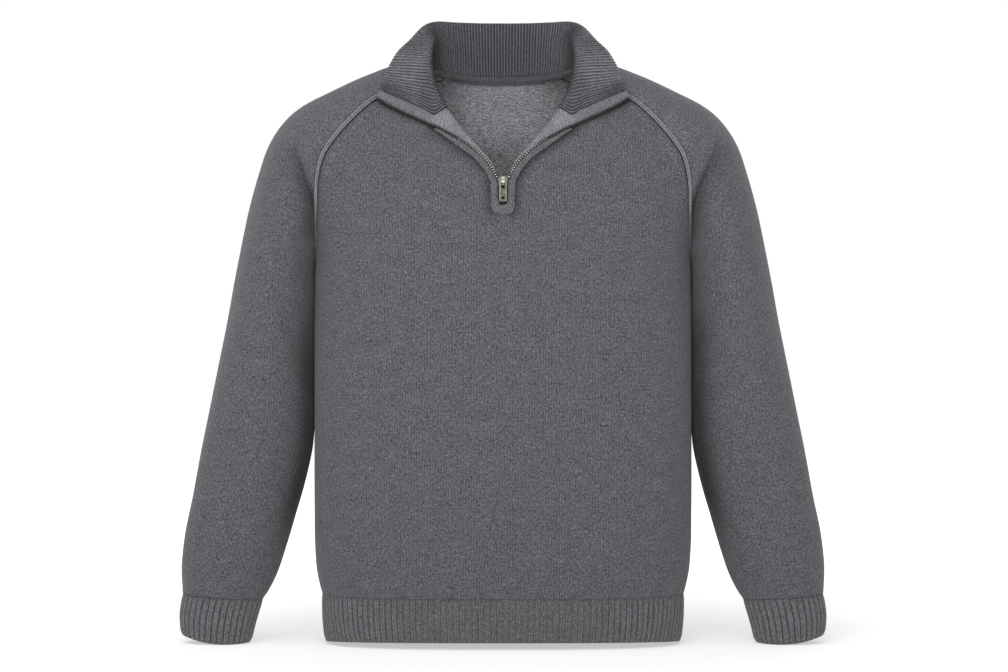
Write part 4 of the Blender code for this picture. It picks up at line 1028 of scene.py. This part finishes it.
def make_sleeves(sleeve, sleeve_n):
    """Both sleeves with their folds, the valleys that run from the underarm, and the shade and
    swell of the side that faces the body."""
    shape = sleeve.shape[:2]
    down, over = np.meshgrid(np.linspace(0, -SLEEVE_DROP * MM, shape[0]),
                             np.linspace(0, SLEEVE_SPREAD * MM, shape[1]), indexing="ij")
    cells = np.arange(shape[1])
    to_seam = np.minimum(cells, cells[::-1])[None] * np.ones(shape)
    rows = np.arange(shape[0])[:, None] * np.ones(shape)
    fade = np.where(rows >= YOKE, 1.0, soft_step(to_seam, 0, 8)) * soft_step(rows, 0, 10)
    fade = fade * soft_step(rows[::-1], 0, 4)
    x, y, low = sleeve[..., 0], sleeve[..., 1], -sleeve[..., 2]
    from_body = x - x.min(axis=1, keepdims=True)
    girth = from_body.max(axis=1, keepdims=True)
    for sign, word in HANDS:
        folds = SLEEVE_FOLDS if sign > 0 else [
            (around * 0.92 + 18, level - 14, length * 1.1, width, slant * 0.85, depth * 0.9)
            for around, level, length, width, slant, depth in SLEEVE_FOLDS]
        sunk = sunk_by(folds, over, down) + sunk_by(folds, over - SLEEVE_SPREAD * MM, down)
        sunk = (sunk + sunk_by(folds, over + SLEEVE_SPREAD * MM, down)) * fade
        shade = np.ones_like(sunk)
        for facing, line, depth, width in UNDERARM_VALLEYS[word]:
            valley = np.array(line) * MM
            away = distance_to(sleeve[..., [0, 2]], valley)
            growth = soft_step(low, -(line[0][1] + 12) * MM, -(line[-1][1] + 6) * MM)
            beyond = x > np.interp(-low, valley[::-1, 1], valley[::-1, 0])
            crease = bell(away, 0.42 * width * MM)
            slope = bell(away, 1.9 * width * MM) * beyond
            near = np.maximum(crease, 0.7 * slope) * (y * facing > 0)
            near = near * (0.62 + 0.38 * growth)
            sunk = sunk + near * depth * MM * np.where(rows >= YOKE, 1, soft_step(to_seam, 0, 3))
            shade = shade - VALLEY_SHADE * near
        beside = soft_range(low / MM, ARM_SHADE_LEVELS)
        shade = shade - ARM_SHADE * beside * bell(from_body, ARM_SHADE_WIDTH * MM)
        shade = shade + SHOULDER_LIGHT * (1 - soft_step(low, 25 * MM, 115 * MM))
        points = sleeve - sleeve_n * sunk[..., None]
        swell = soft_range(low / MM, ARM_SWELL_LEVELS)
        points[..., 0] -= ARM_SWELL * MM * swell * (1 - from_body / girth) ** 3
        points[YOKE:, -1] = points[YOKE:, 0]
        around = run_across(points)
        uv = uv_down((around - around[:, SLEEVE_CELLS // 2, None]) * sign, points)
        if sign < 0:
            points, shade, uv = mirrored(points)[:, ::-1], shade[:, ::-1], uv[:, ::-1]
        obj = welded(cloth("knit_sleeve_" + word, points, uv, shade=shade))
        obj = thickened(obj, JERSEY_WALL, JERSEY, JERSEY_BACK_PAINTED_LIGHT)
        finished(obj, ("sleeve_" + word,))


def rib_wave(phase, sharp=0.6):
    """Height of a ribbed surface where phase counts ribs, from -1 in the grooves to 1 on top."""
    return 2 * np.abs(np.sin(math.pi * phase)) ** sharp - 1


def both_sides(name, points, uv, back_to_front=False, **shades):
    """The two halves of a piece that is alike on both sides, joined on the middle."""
    halves = []
    for sign in (1, -1):
        pick = (slice(None), slice(None))
        if sign < 0:
            pick = (slice(None, None, -1), slice(None)) if back_to_front else (
                slice(None), slice(None, None, -1))
        grid = (points if sign > 0 else mirrored(points))[pick]
        grid_uv = (uv * np.array([sign, 1.0]))[pick]
        halves.append(cloth(name + "_half", grid, grid_uv,
                            **{kind: values[pick] for kind, values in shades.items()}))
    return joined(name, halves)


def make_collar(neck):
    half = collar_half(neck)
    normals = -grid_normals(half)
    normals[0, :, 0] = 0.0
    normals = unit(normals)
    wave = rib_wave(np.arange(len(half)) / COLLAR_RIB_STEPS)[:, None]
    v = run_along(half, 1)
    fade = soft_step(v / v[-1], 0.0, 0.06) * (1 - 0.5 * soft_step(v / v[-1], 0.97, 1.0))
    points = half + normals * (wave * fade * COLLAR_RIB_RISE * MM)[..., None]
    u = np.arange(len(half)) / COLLAR_RIB_STEPS * COLLAR_RIB_PITCH * MM
    uv = uv_grid(u, v)
    # Painted shade in the ribs' grooves and painted highlight on their tops.
    shade = 0.94 + 0.72 * wave * np.ones_like(v)[None]
    along = np.linspace(0.0, 1.0, len(half))[:, None]
    # The inner face gets more painted shade: behind the neck, and on the turned-out part towards
    # its base.
    behind = 1 - soft_step(along, 0.36, 0.62)
    inside = 1 - behind * (0.36 - 0.12 * v[None] / v[-1]) - (1 - behind) * 0.35 * (
        1 - soft_step(v[None] / v[-1], 0.3, 0.56))
    pieces = both_sides("ribbed_collar", points[:, ::-1], uv[:, ::-1], True, shade=shade[:, ::-1],
                        inner_shade=(shade * inside)[:, ::-1])
    obj = thickened(pieces, COLLAR_WALL, COLLAR_RIB, COLLAR_INSIDE, offset=0.0)
    finished(obj, ("collar",), smooth_angle=75)

    reach = int(len(half) * NECK_BINDING_REACH)
    lines, tone = [], []
    for height, lift, dim in NECK_BINDING:
        j = np.interp(height * MM, v, np.arange(len(v)))
        low, share = int(j), j - int(j)
        line = half[:reach, low] * (1 - share) + half[:reach, low + 1] * share
        lines.append(line - normals[:reach, low] * lift * MM)
        tone.append(np.full(reach, dim))
    grid = np.stack(lines, axis=1)
    grid[0, :, 0] = 0.0
    obj = both_sides("neck_binding", grid, uv_grid(u[:reach], run_along(grid, 1)), True,
                     shade=np.stack(tone, axis=1))
    finished(thickened(obj, NECK_BINDING_WALL, COLLAR_RIB), (), smooth_angle=80)


def make_hem():
    levels = [smooth(np.arange(3), values, RIB_LEVELS) for values in HEM_RINGS.values()]
    shares = np.linspace(0.0, 1.0, HEM_RIBS * RIB_STEPS + 1)
    lean = 0.011 * (bell(shares - 0.42, 0.09) - bell(shares - 0.58, 0.09))
    rows = []
    for level, height, half_width, front_depth, back_depth in zip(RIB_LEVELS / 2, *levels):
        fore, aft = (section_half(half_width, depth, 0.0, half_width, np.linspace(0, 1, 400))
                     for depth in (front_depth, back_depth))
        plan = np.concatenate([fore * [1, -1], aft[::-1][1:]])
        plan = at_shares(plan, shares - lean * level)
        drop = HEM_DROP[0] + (HEM_DROP[1] - HEM_DROP[0]) * (1 - np.abs(plan[:, 1]) / front_depth)
        rows.append(line_of(*plan.T, height - drop * level**2 * MM))
    half = np.array(rows)
    normals = grid_normals(half)
    normals[:, [0, -1], 0] = 0.0
    normals = unit(normals)
    strong = 0.3 + 0.6 * soft_step(np.abs(half[..., 0]), 70 * MM, 195 * MM)
    points, uv, shade = ribbed_tube(half, normals, strong)
    obj = both_sides("ribbed_hem", points, uv, shade=shade)
    finished(thickened(obj, RIB_WALL, RIB), ("hem_rib",), smooth_angle=75)


def ribbed_tube(even, normals, strong):
    """A tube's points moved out to its ribs and in at its two ends, with their UVs and shades."""
    phase = np.arange(even.shape[1])[None] / RIB_STEPS
    wave = rib_wave(phase, 0.42) + (rib_wave(2 * phase, 0.5) - 1) * (0.42 - 0.25 * strong)
    foot = soft_step(RIB_LEVELS, 1.7, 2.0)
    rise = (soft_step(RIB_LEVELS, 0.0, 0.25) * (1 - 0.35 * foot))[:, None]
    curl = foot**2 * RIB_FOOT_CURL + (1 - soft_step(RIB_LEVELS, 0.0, 0.3)) * RIB_SEAM_CURL
    points = even + normals * ((wave - 0.6) * rise * strong * RIB_RISE * 0.75
                               - curl[:, None])[..., None] * MM
    # Painted shade in the rib grooves and painted highlight on their tops, with a little painted
    # shade along the seam at the top.
    shade = 1.0 + (0.5 * wave - 0.1) * strong * (0.4 + 0.6 * rise)
    shade = shade * (1 - 0.15 * bell(RIB_LEVELS, 0.09))[:, None]
    uv = uv_grid(-run_along(even, 0), phase[0] * RIB_PITCH * MM)[..., ::-1]
    return points, uv, np.clip(shade, 0.3, 1.4)


def make_cuffs():
    turn = np.linspace(0.0, 2 * math.pi, CUFF_RIBS * RIB_STEPS + 1)
    even = np.array([at_shares(row, np.linspace(0, 1, len(turn)))
                     for row in ring_rows(CUFF_RINGS, RIB_ROWS + 1, turn)])
    drop = CUFF_DROP[0] + CUFF_DROP[1] * np.sin(turn[None]) ** 2
    even[..., 2] -= drop * MM * (RIB_LEVELS[:, None] / 2) ** 2
    normals = grid_normals(even)
    normals[:, 0] = normals[:, -1] = unit(normals[:, 0] + normals[:, -1])
    points, uv, shade = ribbed_tube(even, normals, 0.95)
    points[:, -1] = points[:, 0]
    for sign, word in HANDS:
        if sign < 0:
            points, uv, shade = mirrored(points)[:, ::-1], uv[:, ::-1], shade[:, ::-1]
        obj = welded(cloth("ribbed_cuff_" + word, points, uv, shade=shade))
        finished(thickened(obj, RIB_WALL, RIB), ("cuff_" + word,), smooth_angle=75)


def strips(name, lines, finish, node, thickness, shade=None):
    """A strip of cloth through these lines of points on the left, and its twin on the right."""
    points = np.stack(lines, axis=1)
    shades = {} if shade is None else {"shade": np.broadcast_to(shade, points.shape[:2])}
    for sign, hand in HANDS:
        if sign < 0:
            points = mirrored(points)[:, ::-1]
            shades = {kind: values[:, ::-1] for kind, values in shades.items()}
        obj = thickened(cloth(name + hand, points, **shades), thickness, finish)
        finished(obj, (node + hand,), smooth_angle=80)


def make_ridges(sleeve, sleeve_n):
    """Raised bindings along the four raglan seams: two beaded ribs with a groove between."""
    last = YOKE_ROWS - 3
    for word, edge, inward in (("front", 0, 1), ("back", -1, -1)):
        base, base_n = sleeve[:last, edge], sleeve_n[:last, edge]
        next_in = sleeve[:last, edge + 2 * inward]
        reach = unit(next_in - base)
        normal = unit(base_n + sleeve_n[:last, edge + 2 * inward])
        length = step_lengths(base).sum()
        shares = np.linspace(0.0, 1.0, int(length / (0.8 * MM)))
        base, reach, normal = (at_shares(np.concatenate([base, values], axis=1), shares)[:, 3:]
                               if values is not base else at_shares(base, shares)
                               for values in (base, reach, normal))
        phase = 2 * math.pi * shares * length / (BEAD_PITCH * MM)
        beads = 0.5 + 0.5 * np.cos(phase + 1.7 * np.sin(phase * 0.137)) * (
            0.75 + 0.25 * np.sin(phase * 0.31))
        # Painted shade on the lower part of the bindings, which lies under the sleeve's fold.
        painted_fold_shade = 1 - 0.5 * soft_step(-base[:, 2], 128 * MM, 165 * MM)
        lines, tone = [], []
        for share in np.linspace(0.0, 1.0, 13):
            hump = abs(math.sin(2 * math.pi * share)) ** 0.7
            height = (0.35 + BINDING_RISE * hump + BEAD_RISE * hump * beads) * MM
            lines.append(base + reach * (SEAM_GAP + BINDING_WIDTH * share) * MM
                         + normal * height[:, None])
            # Painted shade in the groove between the ribs, and painted highlight on the humps and
            # their beads.
            tone.append((0.5 + hump * (0.52 + 0.46 * beads)) * painted_fold_shade)
        if word == "back":
            lines, tone = lines[::-1], tone[::-1]
        node = "raglan_ridge_%s_" % word
        strips("binding_" + node, lines, BINDING, node, 0.9,
               np.stack(tone, axis=1))


def make_front_edge():
    wanted, ridge, teeth, lifts = edge_lines(433)
    across = unit(teeth - ridge)
    width = np.linalg.norm(teeth - ridge, axis=1)[:, None]
    half_tape = TAPE_WIDTH / 2 * MM
    reach = width - half_tape - SEAM_GAP * MM
    lines = []
    on_collar = 1 - soft_step(wanted, 3.2, 4.6)
    tail = soft_step(wanted, EDGE_ROWS[-1], EDGE_ROWS[-1] - 1.2)
    for share in np.linspace(0.0, 1.0, 13):
        rise = FACING_RISE + FACING_RISE_ON_COLLAR * on_collar
        height = (0.35 + rise * math.sin(math.pi * share) ** 0.5 * tail) * MM
        height = height * np.clip(reach[:, 0] / (7 * MM), 0.3, 1)
        line, _ = on_front(ridge + across * reach * share, lifts + 0.75 * MM + height)
        lines.append(line)
    length = summed(step_lengths(ridge))
    # The facing's shade: 1.12 on its open stretch and darker along the collar, painted rib shading
    # where it is ribbed, and painted shade towards both edges, which round away.
    ribbed = soft_range(wanted, FACING_RIBBED)
    tone = 1.12 - 0.22 * on_collar + 0.4 * ribbed * rib_wave(length / (4.2 * MM))
    tone = tone[:, None] * (1 - 0.4 * np.linspace(1, -1, 13)[None] ** 4)
    chain, chain_lifts = edge_to_slider(121)
    aside = np.gradient(chain, axis=0)
    aside = unit(np.stack([-aside[:, 1], aside[:, 0]], axis=1))
    tape_lines = [on_front(chain + aside * half_tape * share, chain_lifts + 1.2 * MM)[0]
                  for share in (-1.0, 0.0, 1.0)]
    strips("facing_", lines[::-1], FACING, "zip_facing_", 1.0, tone[:, ::-1])
    strips("tape_", tape_lines[::-1], TAPE, "zip_tape_", 1.1)

    inner, outer = band_lines(140)
    lines = []
    for share in np.linspace(0.0, 1.0, 9):
        place = inner + (outer - inner) * share
        height = (0.5 + BAND_RISE * math.sin(math.pi * min(share * 1.08, 1.0)) ** 0.55) * MM
        lines.append(on_front(place, np.full(len(place), height))[0])
    points = np.stack(lines, axis=1)[:, ::-1]
    points[-1, :, 0] = 0.0
    uv = uv_grid(run_along(points, 0), run_along(points, 1))
    obj = thickened(both_sides("zip_band", points, uv), 1.2, BAND)
    finished(obj, ("placket_band",), smooth_angle=80)


def small_model(primitive, settings, size, *steps):
    """One tooth or stitch, made once and stamped at its places; its size is in millimetres."""
    deselect()
    primitive(**settings)
    resize = (bpy.ops.transform.resize, {"value": [length * MM for length in size]})
    return edited(bpy.context.object, resize, *steps)


def stamped(name, model, frames, sign):
    """Copies of a small model, one at each place, turned to its side, out and run directions."""
    source = np.array([vertex.co[:] for vertex in model.data.vertices])
    polygons = [tuple(face.vertices) for face in model.data.polygons]
    vertices, faces = [], []
    for spot, side, out, run in frames:
        start = len(vertices)
        points = (source @ np.stack([side, out, run]) + spot) * np.array([sign, 1, 1])
        vertices.extend(map(tuple, points))
        faces.extend([start + k for k in face[::sign]] for face in polygons)
    mesh = bpy.data.meshes.new(name)
    mesh.from_pydata(vertices, [], faces)
    return edited(linked(name, mesh), (bpy.ops.mesh.normals_make_consistent, {"inside": False}))


def make_teeth():
    """Rows of teeth on both tapes, and the closed rows below the slider: small blocks with
    rounded corners."""
    rounded = {"offset": TOOTH_ROUNDING * MM, "segments": 1, "profile": 0.5, "affect": "EDGES"}
    model = small_model(bpy.ops.mesh.primitive_cube_add, {"size": 1.0}, TOOTH_SIZE,
                        (bpy.ops.mesh.bevel, rounded))
    teeth, lifts = edge_to_slider(400)
    line, line_n = on_front(teeth, lifts + 1.95 * MM)
    count = int(step_lengths(line).sum() / (TOOTH_PITCH * MM))
    shares = (np.arange(count) + 0.5) / count
    spots = at_shares(line, shares)
    outs = unit(at_shares(line_n, shares))
    runs = unit(np.gradient(spots, axis=0))
    open_rows = list(zip(spots, unit(np.cross(outs, runs)), outs, runs))
    heights = np.arange(SLIDER_TOP_Z - 12.6, ZIP_FOOT_Z + 8.0, -TOOTH_PITCH / 1.45) * MM
    for sign, hand in HANDS:
        closed = []
        for z in heights + sign * TOOTH_PITCH / 4 * MM:
            spot = np.array([0.9 * MM, float(front_y(0.0, z)) - 0.6 * MM, z])
            closed.append((spot, np.array([1.0, 0, 0]), np.array([0, -1.0, 0]),
                           np.array([0, 0, 1.0])))
        obj = stamped("zip_teeth_" + hand, model, open_rows + closed, sign)
        finished(dressed(obj, TEETH), (), smooth_angle=30)
    bpy.data.objects.remove(model)


def make_marks(front, front_n, back, back_n):
    """Small raised stitches beside the raglan seams, where the knitting was narrowed."""
    model = small_model(bpy.ops.mesh.primitive_ico_sphere_add,
                        {"subdivisions": 2, "radius": 1.0}, STITCH_SIZE)
    for word, grid, grid_n in (("front", front, front_n), ("back", back, back_n)):
        run = run_across(grid[:YOKE_ROWS])
        seam = grid[:YOKE_ROWS, -1]
        along = run_along(seam[None], 1) / MM
        frames = []
        for k, place in enumerate(np.arange(MARKS_FROM, MARKS_TO, MARK_PITCH)):
            row = int(np.searchsorted(along, place))
            offset = (MARK_OFFSET + 1.6 * math.sin(2.1 * k * k)) * MM
            cell = int(np.argmin(np.abs(run[row, -1] - run[row] - offset)))
            out = grid_n[row, cell] * (1 if grid_n[row, cell, 1] * grid[row, cell, 1] > 0 else -1)
            down = unit(unit(seam[row + 1] - seam[row - 1])
                        + np.array([0.5, 0, -0.5]) * math.sin(1.3 * k * k))
            side = unit(np.cross(out, down))
            frames.append((grid[row, cell] - out * 0.15 * MM, side, out,
                           unit(np.cross(side, out))))
        for sign, hand in HANDS:
            obj = stamped("fashioning_%s_%s" % (word, hand), model, frames, sign)
            finished(dressed(obj, THREAD), (), smooth_angle=60)
    bpy.data.objects.remove(model)


def make_closed_tapes():
    heights = np.linspace(SLIDER_TOP_Z - 3.0, ZIP_FOOT_Z + 0.8, 24) * MM
    lines = []
    for x, rise in ((0.2, 0.0), (1.8, 0.15), (3.4, 0.1), (5.0, -0.3)):
        x = np.full(len(heights), x * MM)
        lines.append(line_of(x, front_y(x, heights) + (0.2 - rise) * MM, heights))
    strips("closed_tape_", lines, TAPE, "zip_chain_", 1.2)


def make_metal():
    """Slider and pull tab: the solids' own forms with their edges rounded."""
    for node, name, body, width, finish in (
            ("slider", "cast_slider", "sweater", 0.28, SLIDER_METAL),
            ("pull_tab", "cast_pull_tab", "tab", 0.22, TAB_METAL)):
        obj = welded(linked(name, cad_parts[node].data.copy()), 0.000005)
        for vertex in obj.data.vertices:
            if vertex.co.z < TAB_LOWER_Z * MM and node == "pull_tab":
                vertex.co += Vector((0.0, 0.0, -TAB_LONGER * MM))
        edited(obj, (bpy.ops.mesh.dissolve_limited, {"angle_limit": math.radians(2)}))
        modifier = obj.modifiers.new("worn_edges", "BEVEL")
        modifier.width = width * MM
        modifier.segments = 2
        modifier.limit_method = "ANGLE"
        modifier.angle_limit = math.radians(35)
        modifier.use_clamp_overlap = True
        bpy.ops.object.modifier_apply(modifier="worn_edges")
        finished(dressed(obj, finish), (node,), body=body, smooth_angle=12)


def main():
    stage()
    front, front_n, back, back_n, sleeve, sleeve_n = panel_forms()
    make_body_panels(front, front_n, back, back_n)
    make_sleeves(sleeve, sleeve_n)
    make_collar(neck_line(front, front_n, back, back_n, sleeve, sleeve_n))
    make_ridges(sleeve, sleeve_n)
    make_front_edge()
    make_closed_tapes()
    make_teeth()
    make_marks(front, front_n, back, back_n)
    make_hem()
    make_cuffs()
    make_metal()


main()
